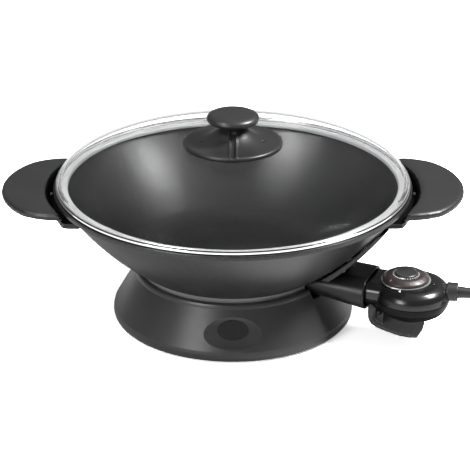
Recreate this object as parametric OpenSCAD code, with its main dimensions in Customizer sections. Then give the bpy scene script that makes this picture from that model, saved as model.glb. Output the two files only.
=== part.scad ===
// Electric wok: a non-stick bowl with side handles on a flared base, a glass lid with a
// steel rim, and a plug-in temperature control on its mains lead.
// Millimetres, +Z up. Origin: centre of the base at table level. The handles lie along X,
// the front of the base faces -Y, the control points to the right and a little forward.

/* [Base] */
// Radius of the skirt where it is widest, near the table
base_r = 123; // [119:0.5:128]
// Height of the skirt's top lip above the table
base_h = 54; // [53:0.5:56]
// Radius of the skirt just under its top lip
lip_r = 100; // [99.5:0.1:102]
// Wall of the skirt
base_wall = 3; // [2.6:0.1:3.4]
// Height of the rubber feet
foot_h = 3; // [2.5:0.1:3.5]
// Diameter of each rubber foot
foot_d = 17; // [14:0.5:20]
// Number of rubber feet and of base screws
foot_count = 4; // [3:1:6]
// Depth of the finger-wide scoop in the front of the skirt
scoop_depth = 3.2; // [2.4:0.1:3.4]
// Radius of the cutter that makes the scoop
scoop_r = 42; // [40:1:60]
// Width of the oval plate in the scoop
badge_w = 31; // [26:0.5:34]

/* [Bowl] */
// Outer radius of the bowl's rim
rim_r = 180; // [178:0.5:182]
// Height of the top of the bowl's rim above the table
rim_z = 142.6; // [140:0.2:146]
// Height of the thickened band round the rim
rim_band = 5.2; // [4:0.2:6]
// Radius of the wall's outside just under the rim band
neck_r = 174.4; // [173:0.2:175]
// Radius of the foot ring's outside
ring_r = 95; // [93:0.5:95.6]
// Wall of the bowl
bowl_wall = 4; // [3.4:0.1:4.4]
// Height of the bowl's underside above the table
belly_z = 58; // [57:0.2:60]
// Radius of curvature of the bowl's side, seen in section
side_curve = 300; // [240:10:380]

/* [Lid] */
// Outer radius of the lid's steel rim
lid_r = 178; // [176.5:0.25:179]
// Height of the steel rim
lid_rim_h = 6.2; // [6.2:0.2:7]
// Rise of the glass dome above the steel rim
dome_h = 35.6; // [30:0.2:40]
// Thickness of the glass
glass_t = 4; // [3.6:0.1:4.4]
// Radius of the knob's flared foot
flare_r = 49.5; // [44:0.5:52]
// Height of the knob from the glass to the top
knob_h = 34; // [31:0.5:38]
// Radius of the knob's cap
cap_r = 26.4; // [23:0.2:30]
// Radius of the knob's neck
neck_knob_r = 11.6; // [10:0.2:13]

/* [Handles] */
// Reach of each handle from the centre of the bowl
handle_reach = 232.8; // [226:0.2:240]
// Width of each handle, front to back
handle_w = 161; // [150:1:170]
// Thickness of each handle's paddle
handle_t = 9; // [8.5:0.5:11]
// Width of the finger valley between the rim and the paddle
valley_w = 18; // [17:0.5:20]

/* [Control] */
// Angle of the control to the right of the front, from the handle's line
probe_az = 22; // [16:1:30]
// Height of the heater's pins above the table
pin_z = 54; // [53.7:0.1:54.2]
// Half distance between the heater's pins
pin_gap = 13; // [12:0.5:14]
// Radius of the heater's contact pins
pin_r = 2.5; // [2:0.1:2.6]
// Distance of the socket's mouth from the centre of the bowl
mouth_u = 150; // [146:1:154]
// Half width of the socket's shroud
shroud_hw = 29.8; // [29:0.2:31]
// Distance of the middle of the control's round body from the centre of the bowl
body_u = 192; // [191:0.5:194]
// Radius of the control's round body
body_r = 35; // [34:0.5:36]
// Height of the top of the control's body above the table
body_top = 67.6; // [67:0.2:69]
// Height of the underside of the control's body above the table
body_low = 32.6; // [32:0.2:35]
// Radius of the dial
dial_r = 23.2; // [20:0.2:24]
// Height of the dial's outer ring
dial_h = 7; // [5:0.2:8]
// Radius of the dial's centre cap
dial_cap_r = 12.4; // [10:0.2:14]
// Width of the release lever
lever_w = 35; // [28:1:38]
// Diameter of the temperature sensor's rod
rod_d = 6; // [5:0.1:6.4]

/* [Lead] */
// Diameter of the mains lead
cord_d = 9.4; // [9:0.1:9.6]
// Clear gap between neighbouring turns of the coiled lead
turn_gap = 0.7; // [0.6:0.1:1.2]
// Radius of the coil at the middle of its turns
coil_r = 52; // [50:1:54]
// Turns in the coil
coil_turns = 3; // [3:1:4]

/* [Hidden] */
$fn = 96;
eps = 0.01;
gap = 0.3;              // clearance between pieces that move apart
fit = 0.05;             // clearance of pieces that fit each other
face = 0.1;             // clearance between fixed neighbours

black = [0.09, 0.09, 0.095];
charcoal = [0.16, 0.16, 0.17];
steel = [0.78, 0.79, 0.8];
brass = [0.75, 0.6, 0.3];

// ---- small helpers ----
function unit(v) = v / norm(v);
function lerp(a, b, t) = a + (b - a) * t;
function seg_span(n) = [for (i = [0:n]) i / n];

module ring_at(r_out, r_in, z0, h) {
  translate([0, 0, z0]) difference() {
    cylinder(r = r_out, h = h);
    translate([0, 0, -1]) cylinder(r = r_in, h = h + 2);
  }
}
module around(n, r, a0 = 0) {
  for (i = [0:n - 1]) rotate([0, 0, a0 + i * 360 / n]) translate([r, 0, 0]) children();
}
// Cylinder along +X
module rod_x(d, len) { rotate([0, 90, 0]) cylinder(d = d, h = len); }

// ---- base: section values ----
skirt_z = foot_h - 0.5;             // lower edge of the skirt
ledge_z = base_h - 6;               // top of the ledge that carries the pads
pad_t = 2;                          // thickness of the seat pads
ring_foot_z = ledge_z + pad_t + 0.2;  // underside of the bowl's foot ring
ledge_r = 84;                       // inner radius of the ledge
boss_r = 89;                        // circle of the screw bosses
foot_circle = 106;                  // circle of the rubber feet
plate_t = 2.2;                      // thickness of the base plate
screw_d = 3.6;                      // shank of the small screws
notch_w = 2 * shroud_hw + 3;        // width of the notch for the socket's shroud
notch_z = 43.2;                     // floor of that notch
cone_z0 = skirt_z + 10;             // foot of the skirt's straight flank
cone_z1 = base_h - 5;               // top of the straight flank
cone_r0 = base_r - 0.9;
function flank_r(z) = lerp(cone_r0, lip_r + 1, (z - cone_z0) / (cone_z1 - cone_z0));
flank_tilt = atan((cone_r0 - lip_r - 1) / (cone_z1 - cone_z0));  // lean of the flank
scoop_z = 29;                       // height of the scoop's middle
badge_z = 32;                       // height of the oval plate's middle
badge_t = 1.2;
badge_ratio = 0.66;                 // height of the oval to its width

// Solid of the skirt's outside, drawn in by inset
module skirt_section(inset, z0) {
  r0 = base_r - inset;
  polygon([[0, z0], [r0 - 1.6, z0], [r0 - 0.5, z0 + 1.4], [r0, z0 + 4], [r0 - 0.2, z0 + 7],
           [flank_r(cone_z0) - inset, cone_z0], [flank_r(cone_z1) - inset, cone_z1],
           [lip_r + 0.4 - inset, base_h - 2.6], [lip_r - 0.3 - inset, base_h - 1],
           [lip_r - 1.3 - inset, base_h - 0.25], [lip_r - 2.2 - inset, base_h], [0, base_h]]);
}
// Frame on the front flank at a height: X to the right, Z out of the skirt
module on_flank(z) {
  translate([0, -flank_r(z), z]) rotate([90 - flank_tilt, 0, 0]) children();
}
module scoop_cutter() {
  on_flank(scoop_z) translate([-40, 0, scoop_r - scoop_depth]) rotate([0, 90, 0])
    cylinder(r = scoop_r, h = 80, $fn = 180);
}
module badge_outline(grow) {
  n = 40;
  polygon([for (i = [0:n - 1])
    [(badge_w / 2 + grow) * cos(i * 360 / n),
     (badge_w / 2 * badge_ratio + grow) * sin(i * 360 / n)]]);
}
module badge_place(grow, depth, top) {
  on_flank(badge_z) translate([0, 0, -scoop_depth - depth])
    linear_extrude(depth + top) badge_outline(grow);
}
module base_skirt() {
  color(charcoal) difference() {
    union() {
      rotate_extrude() difference() {
        skirt_section(0, skirt_z);
        skirt_section(base_wall, skirt_z - 1);
        translate([0, base_h - base_wall - 2]) square([lip_r - 3.9, base_wall + 4]);
      }
      // ledge that carries the bowl
      rotate_extrude() polygon([[ledge_r, ledge_z - 3], [flank_r(ledge_z) - base_wall + 1, ledge_z - 7],
        [flank_r(ledge_z) - base_wall + 1, ledge_z], [ledge_r, ledge_z]]);
      // thick pad behind the scoop
      intersection() {
        rotate_extrude() difference() {
          skirt_section(1, skirt_z + 4);
          skirt_section(base_wall + 4.5, skirt_z);
        }
        on_flank(scoop_z + 3) translate([0, 0, -16]) cylinder(r = 24, h = 18);
      }
      // screw bosses under the ledge
      around(foot_count, boss_r, 45)
        translate([0, 0, skirt_z + plate_t + 0.5]) cylinder(d = 9, h = ledge_z - skirt_z - plate_t - 2);
    }
    around(foot_count, boss_r, 45)
      translate([0, 0, skirt_z]) cylinder(d = screw_d + 2 * fit, h = 18);
    scoop_cutter();
    badge_place(fit, badge_t, 12);
    // notch that the socket's shroud drops into
    rotate([0, 0, -probe_az]) translate([70, -notch_w / 2, notch_z])
      cube([60, notch_w, 30]);
  }
}
module base_badge() { color(black) badge_place(0, badge_t - fit, 0.4); }
module base_plate() {
  plate_z = skirt_z + 0.5;
  color(black) translate([0, 0, plate_z]) difference() {
    cylinder(r = base_r - base_wall - 2.4, h = plate_t);
    translate([0, 0, -1]) cylinder(r = 40, h = plate_t + 2);
    // two rings of air slots
    for (row = [0:1]) around(18, 58 + 17 * row, 10 * row)
      translate([-6, -1.5, -1]) cube([12, 3, plate_t + 2]);
    around(foot_count, foot_circle, 0) translate([0, 0, -1]) cylinder(d = 6.2, h = plate_t + 2);
    around(foot_count, boss_r, 45) translate([0, 0, -1]) cylinder(d = screw_d + 0.4, h = plate_t + 2);
  }
}
module rubber_feet() {
  color(black) around(foot_count, foot_circle, 0) {
    rotate_extrude() polygon([[0, 0], [foot_d / 2 - 1, 0], [foot_d / 2, 0.8], [foot_d / 2 - 0.6, foot_h - fit],
      [3, foot_h - fit], [3, foot_h + plate_t + 0.1], [4.2, foot_h + plate_t + 0.1],
      [3, foot_h + plate_t + 2.4], [0, foot_h + plate_t + 2.4]]);
  }
}
module base_screws() {
  head_z = skirt_z + 0.5;
  color(steel) around(foot_count, boss_r, 45) {
    translate([0, 0, head_z - 2.1]) difference() {
      cylinder(d = 6.8, h = 2.1 - fit);
      translate([0, 0, -1]) cylinder(d = 3, h = 2.2, $fn = 6);
    }
    translate([0, 0, head_z - 0.2]) cylinder(d = screw_d, h = 14);
  }
}
module seat_pads() {
  color(black) for (a = [60, 150, 210, 284]) rotate([0, 0, a])
    rotate_extrude(angle = 24) translate([ledge_r + 2, ledge_z + fit]) square([lip_r - 5 - ledge_r - 2, pad_t - fit]);
}

// ---- bowl: section values ----
wall_a = [ring_r + 4, belly_z + 2];          // where the side starts, outside
wall_b = [neck_r, rim_z - rim_band - 1];     // where it ends, under the rim band
wall_mid = (wall_a + wall_b) / 2;
wall_dir = unit(wall_b - wall_a);
wall_half = norm(wall_b - wall_a) / 2;
wall_c = wall_mid + [-wall_dir[1], wall_dir[0]] * sqrt(side_curve * side_curve - wall_half * wall_half);
side_steps = 14;
// Radius of the bowl's side at a height, moved out by grow along the normal
function side_r(z, grow = 0) =
  wall_c[0] + sqrt(pow(side_curve + grow, 2) - pow(wall_c[1] - z, 2));
function side_pts(grow, za, zb, n) = [for (t = seg_span(n)) [side_r(lerp(za, zb, t), grow), lerp(za, zb, t)]];
inner_floor = belly_z + bowl_wall + 1;       // height of the cooking surface
floor_r = 66;                                // radius of the flat cooking surface
function floor_curve(t) = [lerp(floor_r, side_r(inner_floor + 6, -bowl_wall), t),
                           inner_floor + 6 * t * t];
heat_r = 62;                                 // radius of the heater's ring
heat_d = 7;                                  // diameter of the heater's sheath
bend_r = 10;                                 // bend where the heater's ring turns into its legs
lug_w = 26;                                  // width of the handle lugs
lug_z0 = rim_z - 22.6;
lug_z1 = rim_z - 18.2;
lug_r = 189.5;
handle_screw_r = 184.8;                       // distance of the handle screws

// Everything inside the bowl's outside, moved out by grow
module side_envelope(grow, z0, z1) {
  rotate_extrude() polygon(concat([[0, z0]], side_pts(grow, z0, z1, side_steps), [[0, z1]]));
}
module wok_bowl() {
  color(charcoal) difference() {
    union() {
      rotate_extrude() polygon(concat(
        [[0, belly_z]], [[ring_r - 7, belly_z]], [[ring_r - 6.4, ring_foot_z]],
        [[ring_r - 0.8, ring_foot_z]], [[ring_r, ring_foot_z + 1]], [[ring_r, wall_a[1] - 0.8]],
        [[ring_r + 1, wall_a[1]]],
        side_pts(0, wall_a[1], wall_b[1], side_steps),
        [[rim_r - 1.2, rim_z - rim_band]], [[rim_r - 0.2, rim_z - rim_band + 0.5]],
        [[rim_r, rim_z - rim_band + 1.4]], [[rim_r, rim_z - 1]], [[rim_r - 0.8, rim_z]],
        [[side_r(rim_z, -bowl_wall) + 0.8, rim_z]],
        [for (i = [0:side_steps]) let (z = lerp(rim_z - 1, inner_floor + 6, i / side_steps))
          [side_r(z, -bowl_wall), z]],
        [for (i = [1:5]) floor_curve(1 - i / 5)],
        [[0, inner_floor]]));
      // cast ring that holds the heater
      ring_at(heat_r + 7, heat_r - 7, pin_z - 0.5, belly_z - pin_z + 1);
      // pocket for the sensor's tip
      rotate([0, 0, -probe_az]) translate([heat_r + 8, -6, pin_z - 4.5]) cube([14, 12, belly_z - pin_z + 5]);
      // lugs for the handles
      for (s = [0, 180]) rotate([0, 0, s]) translate([150, -lug_w / 2, lug_z0])
        cube([lug_r - 150, lug_w, lug_z1 - lug_z0]);
      // bosses for the shroud's screws
      rotate([0, 0, -probe_az]) for (s = [-1, 1]) translate([saddle_screw_u, s * saddle_screw_v, saddle_boss_z])
        cylinder(d = 9, h = 14);
    }
    // the inside again, so that lugs and bosses end at the wall
    rotate_extrude() polygon(concat([[0, inner_floor]], [for (i = [0:5]) floor_curve(i / 5)],
      [for (i = [1:side_steps]) let (z = lerp(inner_floor + 6, rim_z + 1, i / side_steps))
        [side_r(z, -bowl_wall), z]], [[0, rim_z + 1]]));
    // groove of the heater
    rotate_extrude() translate([heat_r, pin_z]) circle(d = heat_d + 0.5, $fn = 48);
    rotate([0, 0, -probe_az]) {
      // way out for the heater's legs and the socket
      translate([heat_r - 9, -pin_gap - bend_r, ring_foot_z - 1])
        cube([17.2, 2 * pin_gap + 2 * bend_r, belly_z - ring_foot_z + 1]);
      translate([ring_r - 9, -shroud_hw - 1.5, ring_foot_z - 1]) cube([14, 2 * shroud_hw + 3, belly_z - ring_foot_z + 1]);
      translate([heat_r + 7, 0, pin_z]) rod_x(rod_d + 2 * gap, 20);
      for (s = [-1, 1]) translate([saddle_screw_u, s * saddle_screw_v, saddle_boss_z - 1])
        cylinder(d = screw_d + 2 * fit, h = 9);
    }
    for (s = [0, 180]) rotate([0, 0, s]) translate([handle_screw_r, 0, lug_z0 + 0.8])
      cylinder(d = screw_d + 2 * fit, h = 30);
  }
}
leg_a = asin((pin_gap + bend_r) / (heat_r + bend_r));
leg_u = (heat_r + bend_r) * cos(leg_a);      // start of the straight legs
sheath_u = 112;                              // end of the sheath, start of the bare pins
pin_u = 134;                                 // tip of the pins
// Half of the heater's way, from a pin to the start of the ring
heater_leg = concat([[sheath_u, pin_gap, 0]], [for (i = [0:6]) let (a = lerp(270, 180 + leg_a, i / 6))
  [leg_u + bend_r * cos(a), pin_gap + bend_r + bend_r * sin(a), 0]]);
heater_path = concat(heater_leg, [for (i = [1:39]) let (a = lerp(leg_a, 360 - leg_a, i / 40))
  [heat_r * cos(a), heat_r * sin(a), 0]], [for (i = [len(heater_leg) - 1:-1:0]) let (p = heater_leg[i]) [p[0], -p[1], 0]]);
module heating_element() {
  color(steel) rotate([0, 0, -probe_az]) translate([0, 0, pin_z]) {
    tube(heater_path, heat_d / 2, 16);
    for (s = [-1, 1]) {
      translate([sheath_u - 1, s * pin_gap, 0]) rod_x(2 * pin_r, pin_u - sheath_u);
      translate([pin_u - 1 - eps, s * pin_gap, 0]) rotate([0, 90, 0]) cylinder(r1 = pin_r, r2 = pin_r - 1, h = 1);
    }
  }
}
plate_hw = 20;                               // half width of the steel plate
plate_u = 103;                               // steel plate that carries the pins
module terminal_bushes() {
  color([0.9, 0.88, 0.82]) rotate([0, 0, -probe_az]) for (s = [-1, 1])
    translate([plate_u - 3, s * pin_gap, pin_z]) rotate([0, 90, 0]) difference() {
      union() {
        cylinder(d = 11.6, h = 9);
        cylinder(d = 13, h = 3 - fit);
      }
      translate([0, 0, -1]) cylinder(d = heat_d + 2 * fit, h = 12);
    }
}
module terminal_plate() {
  color(steel) rotate([0, 0, -probe_az]) difference() {
    translate([plate_u, -plate_hw, pin_z - 6.8]) cube([1.5, 2 * plate_hw, 12.6]);
    for (s = [-1, 1]) translate([plate_u - 1, s * pin_gap, pin_z]) rod_x(11.8, 4);
    translate([plate_u - 1, 0, pin_z]) rod_x(rod_d + 2, 4);
  }
}

// ---- socket under the bowl ----
shroud_wall = 2.5;
shroud_in = shroud_hw - shroud_wall;         // half width of the hollow
shroud_u0 = 89;                              // inner end, at the foot ring
shroud_low0 = 46.4;                          // underside at the inner end
shroud_low1 = 35.5;                           // underside at the mouth
shroud_top = 69;                             // top of the roof
shroud_corner = 17;                          // rounding along its edges, at the mouth
saddle_off = 2;                              // air gap between bowl and saddle at its foot
saddle_tip = 0.8;                            // the same at its tip
saddle_t = 5.6;                              // thickness of the saddle at its foot
saddle_tip_t = 3.2;                          // the same at its tip
saddle_hw = 31;                              // half width of the saddle
saddle_z0 = 64.6;                            // lower end of the saddle's curve
saddle_z1 = rim_z - 24.8;                    // height of the saddle's tip, under the handle
saddle_screw_u = 124;
saddle_screw_v = 17;
saddle_boss_z = 75.5;

// Section of the shroud across its length, a rectangle with round corners
module shroud_section(inset, low) {
  c = min(shroud_corner, (shroud_top - low) / 2 - 0.1);
  hull() for (s = [-1, 1]) for (z = [low + c, shroud_top - c])
    translate([s * (shroud_hw - c), z]) circle(r = c - inset, $fn = 48);
}
// Height of its underside at a distance from the centre of the bowl
function shroud_low(u) = lerp(shroud_low0, shroud_low1, (u - shroud_u0) / (mouth_u - shroud_u0));
module shroud_block(inset, u0, u1) {
  hull() {
    along_u(u0, u0 + eps) shroud_section(inset, shroud_low(u0));
    along_u(u1 - eps, u1) shroud_section(inset, shroud_low(u1));
  }
}
module along_u(u0, u1) {
  translate([u0, 0, 0]) rotate([90, 0, 90]) linear_extrude(u1 - u0) children();
}
module socket_shroud() {
  color(black) rotate([0, 0, -probe_az]) difference() {
    shroud_block(0, shroud_u0, mouth_u);
    shroud_block(shroud_wall, shroud_u0 - 1, mouth_u + 1);
    // room for the saddle and the bowl
    saddle_envelope(saddle_off + saddle_t + face, saddle_tip + saddle_tip_t + face, saddle_z0 - face, 90);
    side_envelope(gap, wall_a[1], 90);
    translate([0, 0, belly_z - 0.2]) cylinder(r = wall_a[0] - 2, h = 4);
    translate([0, 0, -1]) cylinder(r = 60, h = 80);
  }
}
module saddle_plan(hw, u0, u1) {
  c = 22;
  hull() {
    translate([u0, -hw]) square([1, 2 * hw]);
    for (s = [-1, 1]) translate([u1 - c, s * (hw - c)]) circle(r = c, $fn = 48);
  }
}
// Everything inside the saddle's inner or outer surface, which close on the bowl as they rise
module saddle_envelope(g0, g1, z0, z1) {
  rotate_extrude() polygon(concat([[0, z0]], [for (t = seg_span(side_steps)) let (z = lerp(z0, z1, t))
    [side_r(z, lerp(g0, g1, (z - saddle_z0) / (saddle_z1 - saddle_z0))), z]], [[0, z1]]));
}
module shroud_saddle() {
  tip_u = side_r(saddle_z1, saddle_tip + saddle_tip_t);
  color(black) rotate([0, 0, -probe_az]) difference() {
    intersection() {
      difference() {
        saddle_envelope(saddle_off + saddle_t, saddle_tip + saddle_tip_t, saddle_z0, saddle_z1);
        saddle_envelope(saddle_off, saddle_tip, saddle_z0 - 2, saddle_z1 + 2);
      }
      translate([0, 0, 40]) linear_extrude(100) saddle_plan(saddle_hw, shroud_u0 + 12, tip_u);
    }
    for (s = [-1, 1]) translate([saddle_screw_u, s * saddle_screw_v, 0]) {
      translate([0, 0, 60]) cylinder(d = 9 + 2 * face, h = 60);
      translate([0, 0, 40]) cylinder(d = screw_d + 0.4, h = 60);
      translate([0, 0, 40]) cylinder(d = 8, h = saddle_boss_z - 43);
    }
  }
}
module shroud_screws() {
  color(steel) rotate([0, 0, -probe_az]) for (s = [-1, 1])
    translate([saddle_screw_u, s * saddle_screw_v, saddle_boss_z - 2.3]) {
      cylinder(d = 7, h = 2.2);
      cylinder(d = screw_d, h = 9);
    }
}

// ---- handles ----
paddle_top = rim_z - 2.4;
paddle_mid_u = rim_r - 12.6;                   // centre of the paddle's half oval
paddle_sides = 44;
root_low = rim_z - 24.6;                     // underside of the handle's root
root_r = rim_r + 19;                         // outer radius of the root
paddle_low = paddle_top - handle_t;          // underside of the paddle
edge_rows = [[0, 4.2], [0.12, 2], [0.36, 0.5], [0.55, 0], [0.75, 0.5], [0.93, 2], [1, 4]];
module paddle_plan(inset) {
  a = handle_reach - paddle_mid_u - inset;
  b = handle_w / 2 - inset;
  polygon([for (i = [0:paddle_sides - 1]) let (t = i * 360 / paddle_sides)
    [paddle_mid_u + a * cos(t), b * sin(t)]]);
}
valley_floor = rim_z - 14.2;
valley_edge = [[5.6, 0], [7.6, 0.05], [9, 0.17], [9.9, 0.35], [10.8, 0.56], [12.2, 0.77], [14, 0.91], [16, 0.98], [valley_w, 1.002]];
// Plan of the root: wide in the middle, drawn in to the rim at its ends
module root_plan() {
  polygon(concat([[120, -70], [120, 70]], [for (a = [30:-2:-30])
    let (r = abs(a) <= 12 ? root_r : max(rim_r + 7, root_r - (abs(a) - 12))) [r * cos(a), r * sin(a)]]));
}
module handle_body() {
  difference() {
    union() {
      difference() {
        hull() for (row = edge_rows)
          translate([0, 0, paddle_top - handle_t + row[0] * handle_t - (row[0] == 1 ? eps : 0)])
            linear_extrude(eps) paddle_plan(row[1]);
        translate([0, 0, root_low]) cylinder(r = rim_r + 6, h = 60);
      }
      // root that hugs the bowl under its rim
      intersection() {
        translate([0, 0, root_low]) linear_extrude(paddle_top - root_low - 2) root_plan();
        rotate_extrude() polygon([[150, root_low], [rim_r - 8, root_low], [rim_r - 6, root_low + 0.6],
          [rim_r + 5, valley_floor - 4.4], [rim_r + 9, valley_floor - 3.4], [rim_r + 15, paddle_low - 0.4],
          [rim_r + 20, paddle_low + 0.8], [rim_r + 20, paddle_top], [150, paddle_top]]);
        translate([100, 0, 0]) rotate([90, 0, 90]) linear_extrude(120) hull() {
          for (s = [-1, 1]) translate([s * (handle_w / 2 - 22), root_low + 14]) circle(r = 14, $fn = 40);
          translate([-handle_w / 2 + 4, paddle_top - 3]) square([handle_w - 8, 1]);
        }
      }
      // pad around the bowl's lug
      translate([150, -lug_w / 2 - 4, root_low]) cube([lug_r + 2.5 - 150, lug_w + 8, valley_floor + 2 - root_low]);
    }
    // finger valley beside the rim, rounded over where it leaves the paddle
    rotate_extrude() polygon(concat([[rim_r - 10, rim_z + 20], [rim_r - 10, valley_floor]],
      [for (p = valley_edge) [rim_r + p[0], valley_floor + p[1] * (paddle_top - valley_floor)]],
      [[rim_r + valley_w + 2, rim_z + 20]]));
    translate([0, 0, rim_z - rim_band - gap]) cylinder(r = rim_r + gap, h = 40);
    side_envelope(gap + 0.2, root_low - 2, rim_z - rim_band - gap);
    // pocket for the bowl's lug, open to the bowl
    translate([150, -lug_w / 2 - gap, lug_z0 - gap]) cube([lug_r - 150 + gap, lug_w + 2 * gap, lug_z1 - lug_z0 + 2 * gap]);
    translate([handle_screw_r, 0, lug_z1]) cylinder(d = screw_d + 0.4, h = 30);
    translate([handle_screw_r, 0, valley_floor]) cylinder(d = 8, h = 30);
  }
}
module handle_right() { color(black) handle_body(); }
module handle_left() { color(black) rotate([0, 0, 180]) handle_body(); }
module handle_screws() {
  color(steel) for (s = [0, 180]) rotate([0, 0, s]) translate([handle_screw_r, 0, 0]) {
    translate([0, 0, lug_z0 + 1]) cylinder(d = screw_d, h = valley_floor - lug_z0);
    translate([0, 0, valley_floor + fit]) difference() {
      cylinder(d1 = 7, d2 = 6, h = 1.8);
      translate([-3, -0.5, 1]) cube([6, 1, 2]);
      translate([-0.5, -3, 1]) cube([1, 6, 2]);
    }
  }
}

// ---- lid ----
lid_z = rim_z + gap;                         // underside of the steel rim
sheet = 0.8;                                 // thickness of the steel
glass_r = lid_r - 2.3;
glass_z = lid_z + lid_rim_h - sheet - 0.2;   // where the dome leaves the rim
glass_low = lid_z + sheet + 0.2;             // lower edge of the glass
skirt_in = side_r(rim_z - 3, -bowl_wall) - 0.9;  // steel skirt just inside the bowl
// Outline of the dome: full at the shoulder, flat on top
function dome_z(r, rr, h) = h * pow(max(0, 1 - pow(r / rr, 2.2)), 1 / 1.72);
dome_steps = 22;
function dome_r(t, rr) = rr * sin(90 * t);
function dome_pts(rr, z0, h) = [for (t = seg_span(dome_steps)) let (r = dome_r(1 - t, rr)) [r, z0 + dome_z(r, rr, h)]];
function dome_back(rr, z0, h) = [for (t = seg_span(dome_steps)) let (r = dome_r(t, rr)) [r, z0 + dome_z(r, rr, h)]];
glass_top = glass_z + dome_h;
vent_r = 30;
module lid_glass() {
  color([0.75, 0.8, 0.82, 0.35]) difference() {
    rotate_extrude() polygon(concat([[glass_r, glass_low]], dome_pts(glass_r, glass_z, dome_h),
      dome_back(glass_r - glass_t, glass_z - glass_t - 0.2, dome_h)));
    translate([0, 0, glass_top - 20]) cylinder(d = 9, h = 40);
    for (s = [-1, 1]) translate([s * vent_r, -vent_y, glass_top - 30]) cylinder(d = 4, h = 60);
  }
}
module lid_rim() {
  top = lid_z + lid_rim_h;
  color(steel) rotate_extrude() polygon([
    [skirt_in - sheet, lid_z - 3.4], [skirt_in, lid_z - 3.6], [skirt_in, lid_z - 0.4],
    [skirt_in + 0.6, lid_z], [lid_r - 0.8, lid_z], [lid_r, lid_z + 0.8],
    [lid_r, top - 1], [lid_r - 0.8, top], [lid_r - 1.8, top + 0.5], [lid_r - 2, top - 0.2],
    [lid_r - 1.2, top - sheet], [lid_r - sheet, top - 1.2], [lid_r - sheet, lid_z + 1.2], [lid_r - 1.2, lid_z + sheet],
    [skirt_in + 0.2, lid_z + sheet], [skirt_in - sheet, lid_z]]);
}
flare_low = glass_z + dome_z(flare_r, glass_r, dome_h) + 0.35;  // rim of the knob's foot
flare_edge = 4.6;                            // height of that rim
cap_z = glass_top + knob_h - 14;             // where the cap's neck sits on the foot
vent_y = 8;
function trumpet(r) = flare_low + flare_edge + 0.6
  + (cap_z - flare_low - flare_edge - 0.6) * pow((flare_r - 2 - r) / (flare_r - 2 - neck_knob_r), 2.6);
module knob_flare() {
  steps = 12;
  shell = 2.4;
  color(black) difference() {
    union() {
      rotate_extrude() polygon(concat(
        [[2.9, glass_top + 1.1]], [[13, glass_top + 1.1]], [[15, glass_top + 4]],
        [[flare_r - 6, flare_low + flare_edge - shell + 0.6]], [[flare_r - 2.6, flare_low + 1.8]],
        [[flare_r - 2.4, flare_low]], [[flare_r - 0.4, flare_low]], [[flare_r, flare_low + 0.6]],
        [[flare_r, flare_low + flare_edge - 1.2]], [[flare_r - 0.6, flare_low + flare_edge]],
        [for (i = [0:steps]) let (r = lerp(flare_r - 2, neck_knob_r, i / steps)) [r, trumpet(r)]],
        [[2.9, cap_z]]));
      // two rails of the steam channel down the front
      for (s = [-1, 1]) intersection() {
        translate([s * 3.4 - 0.7, -flare_r + 0.2, flare_low]) cube([1.4, flare_r - 13, 30]);
        rotate_extrude() polygon(concat(
          [for (i = [0:steps]) let (r = lerp(flare_r - 0.2, neck_knob_r, i / steps)) [r, trumpet(min(r, flare_r - 2)) + 1.6]],
          [for (i = [steps:-1:0]) let (r = lerp(flare_r - 0.2, neck_knob_r, i / steps)) [r, trumpet(min(r, flare_r - 2)) - 1.2]]));
      }
    }
    // floor of the steam channel, let in a little
    difference() {
      translate([-2.7, -flare_r - 1, flare_low + 2]) cube([5.4, flare_r - 13, 40]);
      rotate_extrude() polygon(concat([[0, flare_low - 1]], [[flare_r + 2, flare_low - 1]], [[flare_r + 2, flare_low + flare_edge - 1.2]],
        [for (i = [0:steps]) let (r = lerp(flare_r - 1.4, neck_knob_r, i / steps)) [r, trumpet(min(r, flare_r - 2)) - 1]],
        [[0, cap_z]]));
    }
    for (s = [-1, 1]) translate([s * vent_r, -vent_y, flare_low]) cylinder(d = 2.4, h = 30);
    translate([0, 0, glass_top]) cylinder(d = 5.8, h = 40);
  }
}
insert_d = 9;
insert_z = cap_z + 2;
insert_h = 7;
module knob_cap() {
  top = glass_top + knob_h;
  color(black) difference() {
    rotate_extrude() polygon([[0, cap_z + face], [neck_knob_r - 0.4, cap_z + face], [neck_knob_r - 0.4, cap_z + 2.6],
      [neck_knob_r + 3, cap_z + 3.8], [cap_r - 3, cap_z + 4.2], [cap_r - 1, cap_z + 5], [cap_r, cap_z + 7],
      [cap_r - 0.3, cap_z + 9], [cap_r - 1.6, top - 3.2], [cap_r - 4, top - 1.7], [cap_r - 8, top - 0.8],
      [cap_r - 16, top - 0.2], [0, top]]);
    translate([0, 0, insert_z]) cylinder(d = insert_d + 2 * fit, h = insert_h);
    translate([0, 0, cap_z - 1]) cylinder(d = 5.8, h = 4);
  }
}
module knob_insert() {
  color(brass) difference() {
    translate([0, 0, insert_z + fit]) cylinder(d = insert_d, h = insert_h - 2 * fit);
    translate([0, 0, insert_z - 1]) cylinder(d = 5 + 2 * fit, h = insert_h - 1);
  }
}
module knob_gasket() {
  color([0.35, 0.35, 0.36]) ring_at(12.4, 4.4, glass_top + fit, 1);
}
module knob_screw() {
  head_z = glass_top - glass_t - 0.3;
  color(steel) {
    difference() {
      translate([0, 0, head_z - 3.4]) cylinder(d1 = 8, d2 = 9.6, h = 2.4);
      translate([-6, -0.6, head_z - 4.4]) cube([12, 1.2, 2]);
    }
    translate([0, 0, head_z - 1.1]) cylinder(d = 16, h = 1);
    translate([0, 0, head_z - 1.2]) cylinder(d = 5, h = insert_z + insert_h - 2.6 - head_z);
  }
}

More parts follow.
